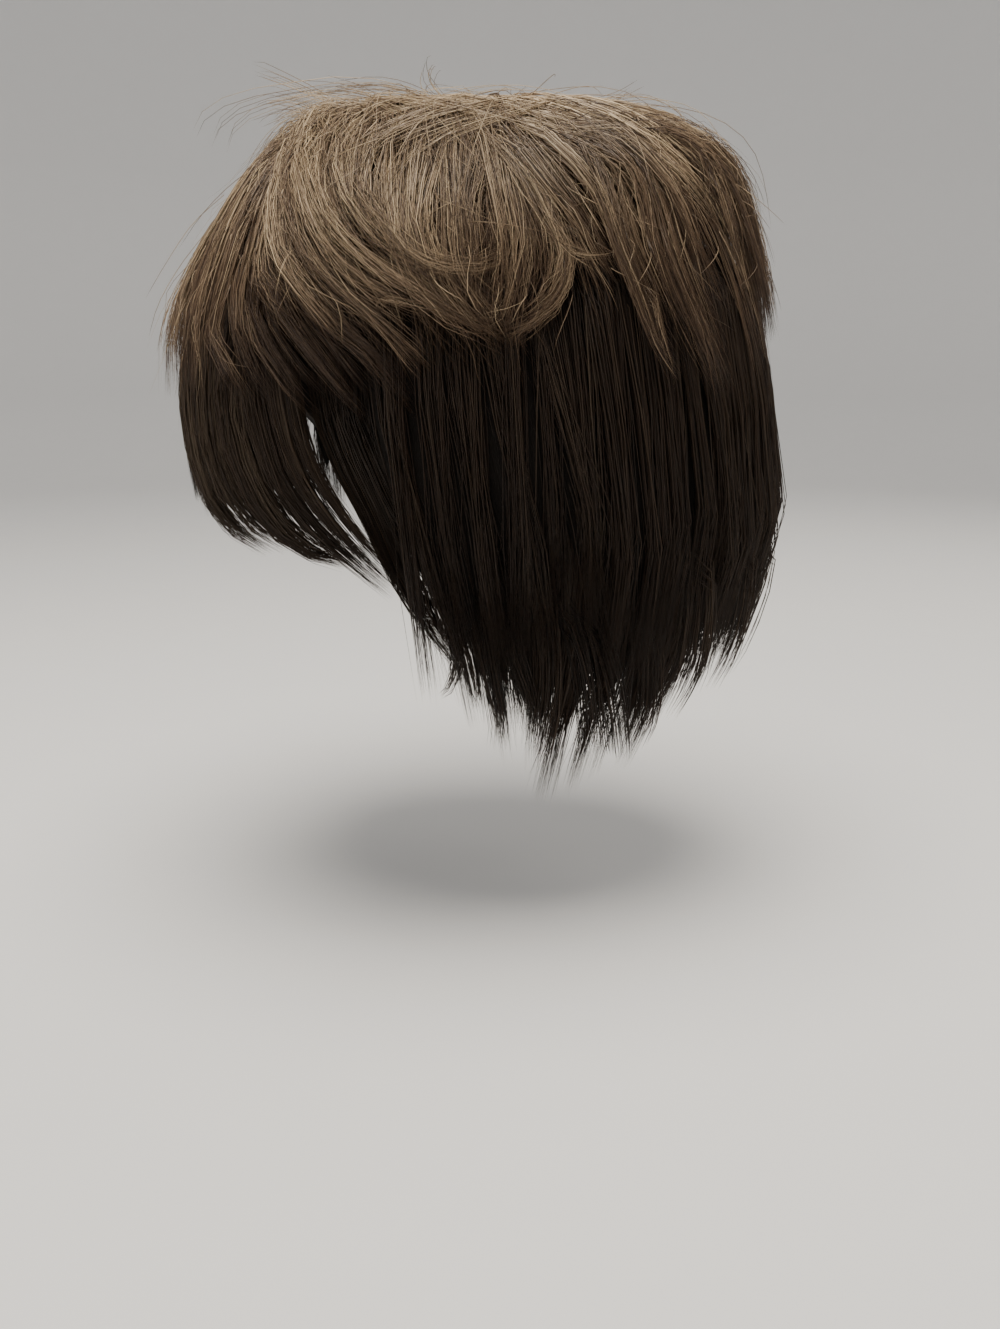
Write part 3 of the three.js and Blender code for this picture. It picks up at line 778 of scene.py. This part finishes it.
def swept_lines(
    layer, locks, count, rng, steps, sign, low=0.7, high=1.04, ragged=0.13, scatter=1.0, hold=1.5, frizz=False
):
    """Centre lines, tones and relative widths of strands along drawn locks, on the left (1) or right (-1).

    Frizz is short strands that start anywhere along a lock and lie over it.
    """
    total = sum(lock[0] for lock in locks)
    t = np.linspace(0, 1, steps + 1)[None, :]
    lines, tones, widths = [], [], []
    for wide, narrow, lighter, *points in locks:
        n = round(count * wide / total)
        mess = scatter * min(1, wide / 5)
        points = np.array(points, float)
        points = np.concatenate([[2 * points[0] - points[1]], points])
        fine = rng.uniform(0, 1, (n, 1)) < FINE_SHARE
        across = rng.uniform(-1, 1, (n, 1))
        wisp = np.floor((across + 1) / 2 * SWEPT_WISPS).astype(int)

        def by_wisp(size):
            return (rng.standard_normal(SWEPT_WISPS) * size)[wisp]

        start = rng.uniform(0, 0.8 if frizz else 0.2, (n, 1))
        stop = np.minimum(rng.normal(1 - ragged, ragged, (n, 1)) + by_wisp(ragged * 0.6), 1)
        if frizz:
            stop = np.minimum(start + rng.uniform(0.15, 0.4, (n, 1)), 1)
        at = (start + (stop - start) * t) * (len(points) - 1)
        turn, row = (through(column, at) for column in points.T)
        share = rng.uniform(low, high, (n, 1)) * smooth(t * 3 + (0.8 if frizz else 0.3)) * (1 - 0.09 * t**2)
        depth = depth_at(layer, row, share)
        base = wig_point(turn * sign, row, depth)
        out = unit(base - wig_point(turn * sign, row, depth - 0.05))
        side = unit(np.cross(np.gradient(base, axis=1), out))
        pulled = across + ((wisp + 0.5) / SWEPT_WISPS * 2 - 1 - across) * 0.35 * smooth(t)
        loose = np.where(fine, 2.0, 1.0)
        wave = np.sin(2 * math.pi * (t * rng.uniform(0.4, 1.1, (n, 1)) + rng.uniform(0, 1, (n, 1)))) * t
        drift = (0.8 * rng.normal(0, 1, (n, 1)) * loose + by_wisp(1.4)) * t**1.6
        shift = pulled * (wide + (narrow - wide) * t**hold) + (0.7 * wave * loose + drift) * mess
        lift = (rng.normal(0, 0.4, (n, 1)) * loose + by_wisp(0.7) + np.where(fine, 0.6, 0)) * t * mess
        lift = np.clip(lift, *LIFT_ENDS)
        lines.append(base + (side * shift[..., None] + out * lift[..., None]) * MM)
        tone = USUAL_TONE + lighter + rng.normal(0, SWEPT_TONE, n) + by_wisp(TUFT_TONE)[:, 0]
        tones.append(tone + np.where(fine, FINE_TONE, 0)[:, 0])
        widths.append(np.where(fine[:, 0], FINE_WIDTH, 1) * rng.uniform(0.75, 1.15, n))
    return np.concatenate(lines), np.clip(np.concatenate(tones), *TONE_ENDS), np.concatenate(widths)


def loose_lines(count, crossing, rng, steps):
    """Centre lines of strands that stand away from the top, and of strands that lie across it."""
    t = np.linspace(0, 1, steps + 1)[None, :]
    drawn = [
        np.stack([through(axis, t[0] * (len(points) - 1)) for axis in np.array(points, float).T], -1)
        for points in LOOSE_STRANDS
    ]
    drawn = np.repeat(np.array(drawn), TUFT_STRANDS, 0)
    drawn = drawn + rng.normal(0, (5, 1, 1), (len(drawn), 1, 3)) * (0.8 + 1.6 * t[..., None])
    drawn[..., 2] = np.minimum(drawn[..., 2], LOOSE_TOP)

    def over_hair(turn, row, lift):
        base = wig_point(turn, row, 1.0)
        out = unit(base - wig_point(turn, row, 0.9))
        return base + out * lift[..., None] * MM

    turn = rng.uniform(-180, 180, (count, 1)) + np.clip(rng.normal(0, 22, (count, 1)), -45, 45) * t
    row = rng.uniform(0.3, 2.6, (count, 1)) + rng.uniform(0.6, 2.4, (count, 1)) * t
    height = np.minimum(rng.exponential(2.4, (count, 1)), 9)
    away = height * np.sin(math.pi * (0.1 + t * rng.uniform(0.5, 0.95, (count, 1)))) - 0.6
    side = np.where(rng.uniform(0, 1, (crossing, 1)) < 0.5, -1, 1)
    across = side * rng.uniform(15, 170, (crossing, 1)) + rng.normal(0, 7, (crossing, 1)) * t**1.5
    level = rng.uniform(2.4, 4.6, (crossing, 1)) + rng.uniform(0.15, 0.7, (crossing, 1)) * t
    bow = rng.uniform(0.3, 1.6, (crossing, 1)) * np.sin(math.pi * t)
    return np.concatenate([drawn * MM, over_hair(turn, row, away), over_hair(across, level, bow)])


def strand_mesh(name, lines, tone, width, taper=0.35, shade_to=1.0):
    """Thin closed strands of three sides along the given lines, joined in one mesh.

    The map runs up to the given place, so that strands which end early keep the colour of the middle.
    """
    count, points, _ = lines.shape
    steps = points - 1
    tangent = unit(np.gradient(lines, axis=1))
    side = unit(np.cross(tangent, lines - np.array(WIG_MIDDLE)))
    out = np.cross(side, tangent)
    t = np.linspace(0, 1, points)[None, :, None]
    radius = width[:, None, None] / 2 * (1 - (1 - taper) * smooth((t - 0.45) / 0.55))
    rings = []
    for corner in range(3):
        angle = math.pi / 2 + corner * 2 * math.pi / 3
        rings.append(lines + radius * (math.cos(angle) * side + math.sin(angle) * out))
    rings = np.stack(rings, 2)[:, :steps]
    verts = np.concatenate([rings.reshape(count, steps * 3, 3), lines[:, -1:]], 1)

    faces, maps = [(0, 2, 1)], [((0, 0), (2, 0), (1, 0.001))]
    for i in range(steps - 1):
        for a in range(3):
            b = (a + 1) % 3
            faces.append((3 * i + a, 3 * i + b, 3 * i + 3 + b, 3 * i + 3 + a))
            low, high = i / steps, (i + 1) / steps
            maps.append(((a, low), (a + 1, low), (a + 1, high), (a, high)))
    for a in range(3):
        b = (a + 1) % 3
        last = 3 * (steps - 1)
        faces.append((last + a, last + b, 3 * steps))
        maps.append(((a, 1 - 1 / steps), (a + 1, 1 - 1 / steps), (a + 0.5, 1)))
    corners = np.array([v for face in faces for v in face])
    sizes = np.array([len(face) for face in faces])
    uv = np.array([pair for face in maps for pair in face], float)
    per_strand = steps * 3 + 1

    mesh = bpy.data.meshes.new(name)
    mesh.vertices.add(count * per_strand)
    mesh.vertices.foreach_set("co", verts.astype(np.float32).ravel())
    loops = (corners[None, :] + per_strand * np.arange(count)[:, None]).ravel()
    mesh.loops.add(len(loops))
    mesh.loops.foreach_set("vertex_index", loops.astype(np.int32))
    totals = np.tile(sizes, count)
    mesh.polygons.add(len(totals))
    mesh.polygons.foreach_set("loop_start", (np.cumsum(totals) - totals).astype(np.int32))
    layer = mesh.uv_layers.new(name=STRAND_MAP)
    strip = np.empty((count, len(uv), 2), np.float32)
    strip[:, :, 0] = tone[:, None] + (uv[None, :, 0] - 1.5) * STRIP
    strip[:, :, 1] = uv[None, :, 1] * shade_to
    layer.data.foreach_set("uv", strip.ravel())
    mesh.update(calc_edges=True)
    mesh.validate()
    mesh.shade_smooth()
    return mesh


class Layer:
    """A layer of hair: the node that its pieces stand for, a slot that is kept but not used, its settings,
    finish and depths.
    """

    def __init__(self, node, slot, hair, finish, depths=None):
        self.node = node
        self.slot = slot
        self.hair = hair
        self.finish = finish
        self.depths = depths or node

    def add_core(self, name, locks, dome=None):
        """A piece of the dense middles of locks, with a dome down to a given row if there is one."""
        shape, uv = new_bmesh()
        if dome:
            add_dome_core(shape, uv, self.depths, dome)
        for values in zip(*(locks[key] for key in LOCK_COLUMNS)):
            add_lock_core(shape, uv, self.depths, *values)
        finish = core_finish(f"{name}_fibre", self.hair)
        add_piece(name, mesh_from(shape, name), finish, self.node)

    def add_strands(self, name, locks, count, seed, steps=4, shade_to=1.0, **kind):
        """A piece of strands that fall in locks."""
        rng = np.random.default_rng(seed)
        lines, tone = strand_lines(self.depths, locks, count, rng, self.hair, steps, **kind)
        width = self.hair.width * rng.uniform(0.7, 1.25, len(lines))
        mesh = strand_mesh(name, lines, tone, width, shade_to=shade_to)
        add_piece(name, mesh, self.finish, self.node)

    def add_swept(self, name, locks, count, seed, width, sign=1, steps=8, shade_to=1.0, **kind):
        """A piece of strands along drawn locks."""
        rng = np.random.default_rng(seed)
        lines, tone, share = swept_lines(self.depths, locks, count, rng, steps, sign, **kind)
        mesh = strand_mesh(name, lines, tone, width * share, shade_to=shade_to)
        add_piece(name, mesh, self.finish, self.node)


def colour_value(name, default, text):
    return bpy.props.FloatVectorProperty(
        name=name, description=text, default=default, size=3, min=0, max=1, subtype="COLOR"
    )


def length_value(name, default, text):
    return bpy.props.FloatProperty(name=name, description=text, default=default, min=0, unit="LENGTH")


def share_value(name, default, text):
    return bpy.props.FloatProperty(
        name=name, description=text, default=default, min=0, max=1, subtype="FACTOR"
    )


def power_value(name, default, text):
    return bpy.props.FloatProperty(name=name, description=text, default=default, subtype="POWER")


def count_value(name, default, text):
    return bpy.props.IntProperty(name=name, description=text, default=default, min=1)


def group_value(kind, name, text):
    return bpy.props.PointerProperty(type=kind, name=name, description=text)


class CapSettings(bpy.types.PropertyGroup):
    wall: length_value("Wall", 0.002, "Thickness of the cap's cloth")
    cloth: colour_value("Cloth", (0.02, 0.016, 0.013), "Colour of the net")
    shadow: colour_value("Shadow", (0.006, 0.005, 0.004), "Colour between the threads")
    thread: colour_value("Thread", (0.05, 0.038, 0.03), "Colour of the sewn rows")


class TopHairSettings(bpy.types.PropertyGroup):
    crown_strands: count_value("Crown strands", 4400, "Strands in the top layer")
    swept_strands: count_value("Swept strands", 3350, "Strands in the swept locks of each side")
    # The temple locks are darker partly as the under hair and partly as painted shade of the hollow beneath
    # the swept locks.
    temple_strands: count_value("Temple strands", 640, "Strands in the darker locks at each temple")
    wisp_strands: count_value("Wisp strands", 90, "Strands in the light wisps of each side")
    frizz_strands: count_value("Frizz strands", 720, "Short strands over the swept locks of each side")
    top_light_strands: count_value("Top light strands", 140, "Strands in the light locks along the top edge")
    # The root value is painted shade at the roots; the tip value sets how dark the tips are, partly their own
    # colour and partly painted shade.
    painted_root_shade: share_value("Root shade", 0.8, "How light the roots are beside the middle")
    tip_tone_and_shade: share_value("Tip shade", 0.42, "How light the tips are beside the middle")
    warmth: share_value("Warmth", 0.5, "How much the warm colour shows")
    loose_strands: count_value("Loose strands", 240, "Strands that stand away from the top")
    crossing_strands: count_value("Crossing strands", 140, "Strands that lie across the locks")
    width: length_value("Strand width", 0.0004, "Width of a strand")
    loose_width: length_value("Loose strand width", 0.00025, "Width of a loose strand")
    clump: share_value("Clump", 0.35, "How wide a lock stays at its tip")
    sway: bpy.props.FloatProperty(name="Sway", description="Sideways wander in degrees", default=2.0)
    dark: colour_value("Dark", (0.024, 0.013, 0.008), "Darkest strands")
    middle: colour_value("Middle", (0.16, 0.108, 0.067), "Most strands")
    light: colour_value("Light", (0.575, 0.447, 0.287), "Lightest strands")
    warm: colour_value("Warm", (0.15, 0.078, 0.04), "Warm strands")
    roughness: share_value("Roughness", 0.42, "Roughness of the fibre")
    gloss: share_value("Gloss", 0.4, "Strength of the shine")


class MiddleHairSettings(bpy.types.PropertyGroup):
    fringe_strands: count_value("Fringe strands", 2300, "Strands in the fringe")
    fringe_end_strands: count_value("Fringe end strands", 1300, "Strands in the locks that end the fringe")
    back_strands: count_value("Back strands", 4150, "Strands in the back layer")
    back_tip_strands: count_value("Back tip strands", 190, "Strands in the back layer's tips on each side")
    # The root value is painted shade at the roots; the tip value sets how dark the tips are, partly their own
    # colour and partly painted shade.
    painted_root_shade: share_value("Root shade", 0.6, "How light the roots are beside the middle")
    tip_tone_and_shade: share_value("Tip shade", 0.8, "How light the tips are beside the middle")
    warmth: share_value("Warmth", 0.8, "How much the warm colour shows")
    width: length_value("Strand width", 0.00052, "Width of a strand")
    clump: share_value("Clump", 0.5, "How wide a lock stays at its tip")
    sway: bpy.props.FloatProperty(name="Sway", description="Sideways wander in degrees", default=1.2)
    # These colours are far darker than the top hair's: partly the darker hair that the lower layers have, and
    # partly painted shade of the lower hair, away from the light above.
    dark: colour_value("Dark", (0.006, 0.004, 0.003), "Darkest strands")
    middle: colour_value("Middle", (0.02, 0.0142, 0.0102), "Most strands")
    light: colour_value("Light", (0.058, 0.043, 0.029), "Lightest strands")
    warm: colour_value("Warm", (0.04, 0.018, 0.008), "Warm strands")
    roughness: share_value("Roughness", 0.45, "Roughness of the fibre")
    gloss: share_value("Gloss", 0.22, "Strength of the shine")


class UnderHairSettings(bpy.types.PropertyGroup):
    side_strands: count_value("Side strands", 1250, "Strands in each lower side layer")
    side_front_strands: count_value("Side front strands", 540, "Strands in the front locks of each side")
    side_tip_strands: count_value("Side tip strands", 230, "Strands in the lower tips of each side")
    nape_strands: count_value("Nape strands", 2150, "Strands in the nape layer")
    nape_tip_strands: count_value("Nape tip strands", 190, "Strands in the nape's tips on each side")
    # The root value is painted shade at the roots; the tip value sets how dark the tips are, partly their own
    # colour and partly painted shade.
    painted_root_shade: share_value("Root shade", 0.6, "How light the roots are beside the middle")
    tip_tone_and_shade: share_value("Tip shade", 1.0, "How light the tips are beside the middle")
    warmth: share_value("Warmth", 0.8, "How much the warm colour shows")
    width: length_value("Strand width", 0.00055, "Width of a strand")
    clump: share_value("Clump", 0.55, "How wide a lock stays at its tip")
    sway: bpy.props.FloatProperty(name="Sway", description="Sideways wander in degrees", default=1.2)
    # These colours are far darker than the top hair's: partly the darker hair that the lower layers have, and
    # partly painted shade of the lower hair, away from the light above.
    dark: colour_value("Dark", (0.005, 0.004, 0.003), "Darkest strands")
    middle: colour_value("Middle", (0.014, 0.01, 0.007), "Most strands")
    light: colour_value("Light", (0.036, 0.023, 0.014), "Lightest strands")
    warm: colour_value("Warm", (0.03, 0.014, 0.007), "Warm strands")
    roughness: share_value("Roughness", 0.45, "Roughness of the fibre")
    gloss: share_value("Gloss", 0.22, "Strength of the shine")


class StageSettings(bpy.types.PropertyGroup):
    floor: length_value("Floor", 0.285, "How far the floor lies below the crown")
    colour: colour_value("Floor colour", (0.86, 0.86, 0.86), "Colour of the floor")
    key: power_value("Key light", 19.5, "Light from above")
    fill: power_value("Fill light", 4, "Light from the side")
    rim: power_value("Rim light", 2.5, "Light from behind")


class WigSettings(bpy.types.PropertyGroup):
    cap: group_value(CapSettings, "Cap", "The cloth cap")
    top_hair: group_value(TopHairSettings, "Top hair", "Crown layer")
    middle_hair: group_value(MiddleHairSettings, "Middle hair", "Fringe and back")
    under_hair: group_value(UnderHairSettings, "Under hair", "Sides and nape")
    stage: group_value(StageSettings, "Stage", "Floor and light")


class WIG_OT_cap(bpy.types.Operator):
    """Builds the hollow cloth cap"""

    bl_idname = "wig.cap"
    bl_label = "Cap"

    def execute(self, context):
        cap = context.scene.wig.cap
        shape, uv = new_bmesh()

        def move(turn, down):
            share = 1 - np.abs(2 * down - 1)
            azimuth = np.degrees(turn)
            row = share * np.interp(np.abs(azimuth), CAP_EDGE["azimuth"], CAP_EDGE["row"])
            skin = wig_point(azimuth, row, 0)
            tilt = np.minimum(share * 1.25, 1) * (math.pi / 2)
            reach = np.hypot(skin[:, 0], skin[:, 1])
            inward = np.where(reach > 1e-6, cap.wall * np.sin(tilt) / np.maximum(reach, 1e-6), 0)
            inner = skin * np.stack([1 - inward, 1 - inward, np.ones_like(inward)], 1)
            inner[:, 2] -= cap.wall * np.cos(tilt)
            return np.where((down < 0.5)[:, None], skin, inner)

        add_ball(shape, uv, *CAP_GRID, move, lambda u, v: (u, v))
        mesh = mesh_from(shape, "cap")
        add_piece("wig_cap", mesh, cap_finish("cap_cloth", cap), "cap")
        return {"FINISHED"}


class WIG_OT_nape(bpy.types.Operator):
    """Builds the lowest layer at the back"""

    bl_idname = "wig.nape"
    bl_label = "Nape hair"

    def execute(self, context):
        hair = context.scene.wig.under_hair
        layer = Layer("nape_hair", "hair_under", hair, hair_finish("nape_fibre", hair))
        locks = even_locks(
            start=119, end=241, count=11, root=5.1, tip=9.5, tip_spread=0.2, half=9, lean=1, turn=1.3
        )
        layer.add_core("nape_core", locks)
        layer.add_strands("nape_strands", locks, hair.nape_strands, SEEDS["nape"])
        for seed, (side, sign) in enumerate(SIDES, SEEDS["nape_tip"]):
            layer.add_swept(
                f"nape_tip_strands_{side}", NAPE_TIP_LOCKS, hair.nape_tip_strands, seed, hair.width, sign,
                **TIP_KIND,
            )
        return {"FINISHED"}


class WIG_OT_sides(bpy.types.Operator):
    """Builds the lower layers on both sides"""

    bl_idname = "wig.sides"
    bl_label = "Side hair"

    def execute(self, context):
        hair = context.scene.wig.under_hair
        finish = hair_finish("side_fibre", hair)
        for seed, (side, sign) in enumerate(SIDES, SEEDS["side"]):
            locks = lock_table(SIDE_LOCKS)
            locks["azimuth"] = locks["azimuth"] * sign
            locks["lean"] = locks["lean"] * sign
            layer = Layer(f"side_hair_{side}", "hair_under", hair, finish, depths="side_hair")
            layer.add_core(f"side_core_{side}", locks)
            layer.add_strands(f"side_strands_{side}", locks, hair.side_strands, seed)
            layer.add_swept(
                f"side_front_strands_{side}", SIDE_FRONT_LOCKS, hair.side_front_strands, seed + 2, hair.width,
                sign, steps=7, low=0.3, high=1.2, ragged=0.06, scatter=0.5, hold=2.5,
            )
            layer.add_swept(
                f"side_tip_strands_{side}", SIDE_TIP_LOCKS, hair.side_tip_strands, seed + 4, hair.width, sign,
                **TIP_KIND,
            )
        return {"FINISHED"}


class WIG_OT_back(bpy.types.Operator):
    """Builds the middle layer over the back"""

    bl_idname = "wig.back"
    bl_label = "Back hair"

    def execute(self, context):
        hair = context.scene.wig.middle_hair
        layer = Layer("back_hair", "hair_middle", hair, hair_finish("back_fibre", hair))
        locks = even_locks(
            start=83, end=277, count=17, root=3.1, tip=8.55, tip_spread=0.4, half=10, lean=8, turn=0.5
        )
        layer.add_core("back_core", locks)
        layer.add_strands("back_strands", locks, hair.back_strands, SEEDS["back"], lighter=-0.1)
        for seed, (side, sign) in enumerate(SIDES, SEEDS["back_tip"]):
            layer.add_swept(
                f"back_tip_strands_{side}", BACK_TIP_LOCKS, hair.back_tip_strands, seed, hair.width, sign,
                steps=5, low=0.25, high=0.95, ragged=0.1, scatter=0.6,
            )
        return {"FINISHED"}


class WIG_OT_fringe(bpy.types.Operator):
    """Builds the fringe over the forehead"""

    bl_idname = "wig.fringe"
    bl_label = "Fringe"

    def execute(self, context):
        hair = context.scene.wig.middle_hair
        layer = Layer("fringe", "hair_middle", hair, hair_finish("fringe_fibre", hair))
        locks = lock_table(FRINGE_LOCKS)
        layer.add_core("fringe_core", locks)
        layer.add_strands("fringe_strands", locks, hair.fringe_strands, SEEDS["fringe"], steps=5)
        layer.add_swept(
            "fringe_end_strands", FRINGE_END_LOCKS, hair.fringe_end_strands, SEEDS["fringe_end"], hair.width,
            steps=7, low=0.3, high=1.1, ragged=0.09, scatter=0.6, hold=2.2,
        )
        return {"FINISHED"}


class WIG_OT_crown(bpy.types.Operator):
    """Builds the top layer from the crown"""

    bl_idname = "wig.crown"
    bl_label = "Crown hair"

    def execute(self, context):
        hair = context.scene.wig.top_hair
        layer = Layer("crown_hair", "hair_top", hair, hair_finish("crown_fibre", hair))
        under = ring_locks(count=18, root=0.7, tip=4.9, tip_spread=0.4, half=13.5, lean=5, turn=0)
        layer.add_core("crown_core", under, dome=3.2)
        for seed, (part, (ring, swirl, share, kind)) in enumerate(CROWN_TIERS.items(), SEEDS["crown"]):
            locks = ring_locks(*ring)
            locks["lean"] += swirl
            layer.add_strands(
                f"crown_strands_{part}", locks, round(hair.crown_strands * share), seed,
                root_spread=0.9, rise=0.55, ragged=1.2, wisps=7, gather=0.75, **kind,
            )
        return {"FINISHED"}


class WIG_OT_swept(bpy.types.Operator):
    """Builds the swept locks over the crown on both sides"""

    bl_idname = "wig.swept"
    bl_label = "Swept locks"

    def execute(self, context):
        hair = context.scene.wig.top_hair
        layer = Layer("crown_hair", "hair_top", hair, hair_finish("swept_fibre", hair))
        parts = (
            ("swept", SWEPT_LOCKS, hair.swept_strands, hair.width, {"scatter": 1.9, "steps": 7}),
            # Darker temple locks: partly the under hair, and partly painted shade of the hollow beneath the
            # swept locks.
            ("temple", TEMPLE_LOCKS, hair.temple_strands, hair.width, {"low": 0.15, "high": 0.7, "steps": 6}),
            (
                "wisp", LIGHT_WISPS, hair.wisp_strands, hair.loose_width,
                {"low": 1.0, "high": 1.1, "scatter": 3},
            ),
            (
                "frizz", SWEPT_LOCKS, hair.frizz_strands, hair.loose_width,
                {"low": 1.0, "high": 1.12, "scatter": 3.5, "frizz": True, "steps": 5, "shade_to": 0.75},
            ),
            # Light strands along the top edge: partly the lighter top hair, and partly painted light on the
            # lit top edge.
            (
                "top_light", TOP_LIGHT_LOCKS, hair.top_light_strands, hair.width,
                {"low": 0.9, "high": 1.05, "ragged": 0.25, "scatter": 3, "steps": 5, "shade_to": 0.6},
            ),
        )
        for seed, (side, sign) in enumerate(SIDES, SEEDS["swept"]):
            for i, (part, locks, count, width, kind) in enumerate(parts):
                name = f"{part}_strands_{side}"
                layer.add_swept(name, locks, count, seed + 2 * i, width, sign, **kind)
        return {"FINISHED"}


class WIG_OT_loose(bpy.types.Operator):
    """Builds the loose strands over the top"""

    bl_idname = "wig.loose"
    bl_label = "Loose strands"

    def execute(self, context):
        hair = context.scene.wig.top_hair
        rng = np.random.default_rng(SEEDS["loose"])
        lines = loose_lines(hair.loose_strands, hair.crossing_strands, rng, steps=8)
        tone = rng.uniform(*LOOSE_TONES, len(lines))
        width = hair.loose_width * rng.uniform(0.8, 1.2, len(lines))
        mesh = strand_mesh("loose", lines, tone, width, taper=0.6)
        add_piece("loose_strands", mesh, hair_finish("loose_fibre", hair), "crown_hair")
        return {"FINISHED"}


class WIG_OT_stage(bpy.types.Operator):
    """Builds the floor, the lights and the camera"""

    bl_idname = "wig.stage"
    bl_label = "Stage"

    def execute(self, context):
        stage = context.scene.wig.stage
        self.add_floor(context, stage)
        powers = {"Key": stage.key, "Fill": stage.fill, "Rim": stage.rim}
        for name, (place, size, colour) in LIGHTS.items():
            self.add_light(context, name, place, size, powers[name], colour)
        world = bpy.data.worlds.new("Studio")
        world.use_nodes = True
        sky = world.node_tree.nodes["Background"].inputs
        sky["Color"].default_value = SKY
        sky["Strength"].default_value = SKY_STRENGTH
        context.scene.world = world
        self.add_camera(context)
        return {"FINISHED"}

    def add_floor(self, context, stage):
        shape = bmesh.new()
        verts = [shape.verts.new((x, 0, z - stage.floor)) for x, z in FLOOR_LINE]
        edges = [shape.edges.new(pair) for pair in zip(verts, verts[1:])]
        bmesh.ops.spin(
            shape, geom=verts + edges, cent=(0, 0, 0), axis=(0, 0, 1), angle=2 * math.pi, steps=FLOOR_STEPS,
            use_merge=True,
        )
        mesh = mesh_from(shape, "floor")
        mesh.materials.append(stage_finish("floor_paint", stage.colour))
        floor = bpy.data.objects.new("floor", mesh)
        context.scene.collection.objects.link(floor)

    def add_light(self, context, name, place, size, power, colour):
        light = bpy.data.lights.new(name, "AREA")
        light.shape = "DISK"
        light.size = size
        light.energy = power
        light.color = colour
        lamp = bpy.data.objects.new(name, light)
        lamp.location = place
        aim = Vector(LIGHT_AIM) - Vector(place)
        lamp.rotation_euler = aim.to_track_quat("-Z", "Y").to_euler()
        context.scene.collection.objects.link(lamp)

    def add_camera(self, context):
        pitch, yaw = math.radians(VIEW_PITCH), math.radians(VIEW_YAW)
        camera = bpy.data.cameras.new("Camera")
        camera.sensor_width = VIEW_SENSOR
        camera.lens = VIEW_FOCAL / VIEW_TALL * camera.sensor_width
        viewer = bpy.data.objects.new("Camera", camera)
        viewer.location = VIEW_PLACE
        aim = Vector((-math.cos(pitch) * math.cos(yaw), -math.cos(pitch) * math.sin(yaw), -math.sin(pitch)))
        viewer.rotation_euler = aim.to_track_quat("-Z", "Y").to_euler()
        context.scene.collection.objects.link(viewer)
        context.scene.camera = viewer


class WIG_PT_pieces(bpy.types.Panel):
    """Lists the wig's pieces"""

    bl_idname = "WIG_PT_pieces"
    bl_label = "Wig"
    bl_space_type = "VIEW_3D"
    bl_region_type = "UI"
    bl_category = "Wig"

    def draw(self, context):
        for operator in OPERATORS:
            self.layout.operator(operator.bl_idname)


OPERATORS = (
    WIG_OT_cap, WIG_OT_nape, WIG_OT_sides, WIG_OT_back, WIG_OT_fringe, WIG_OT_crown, WIG_OT_swept,
    WIG_OT_loose, WIG_OT_stage,
)
SETTINGS = (
    CapSettings, TopHairSettings, MiddleHairSettings, UnderHairSettings, StageSettings, WigSettings,
)


def register():
    for kind in (*SETTINGS, *OPERATORS, WIG_PT_pieces):
        bpy.utils.register_class(kind)
    bpy.types.Scene.wig = group_value(WigSettings, "Wig", "The wig's settings")


def unregister():
    del bpy.types.Scene.wig
    for kind in reversed((*SETTINGS, *OPERATORS, WIG_PT_pieces)):
        bpy.utils.unregister_class(kind)


def main():
    register()
    bpy.ops.wig.cap()
    bpy.ops.wig.nape()
    bpy.ops.wig.sides()
    bpy.ops.wig.back()
    bpy.ops.wig.fringe()
    bpy.ops.wig.crown()
    bpy.ops.wig.swept()
    bpy.ops.wig.loose()
    bpy.ops.wig.stage()
    bpy.context.view_layer.update()


if __name__ == "__main__":
    main()
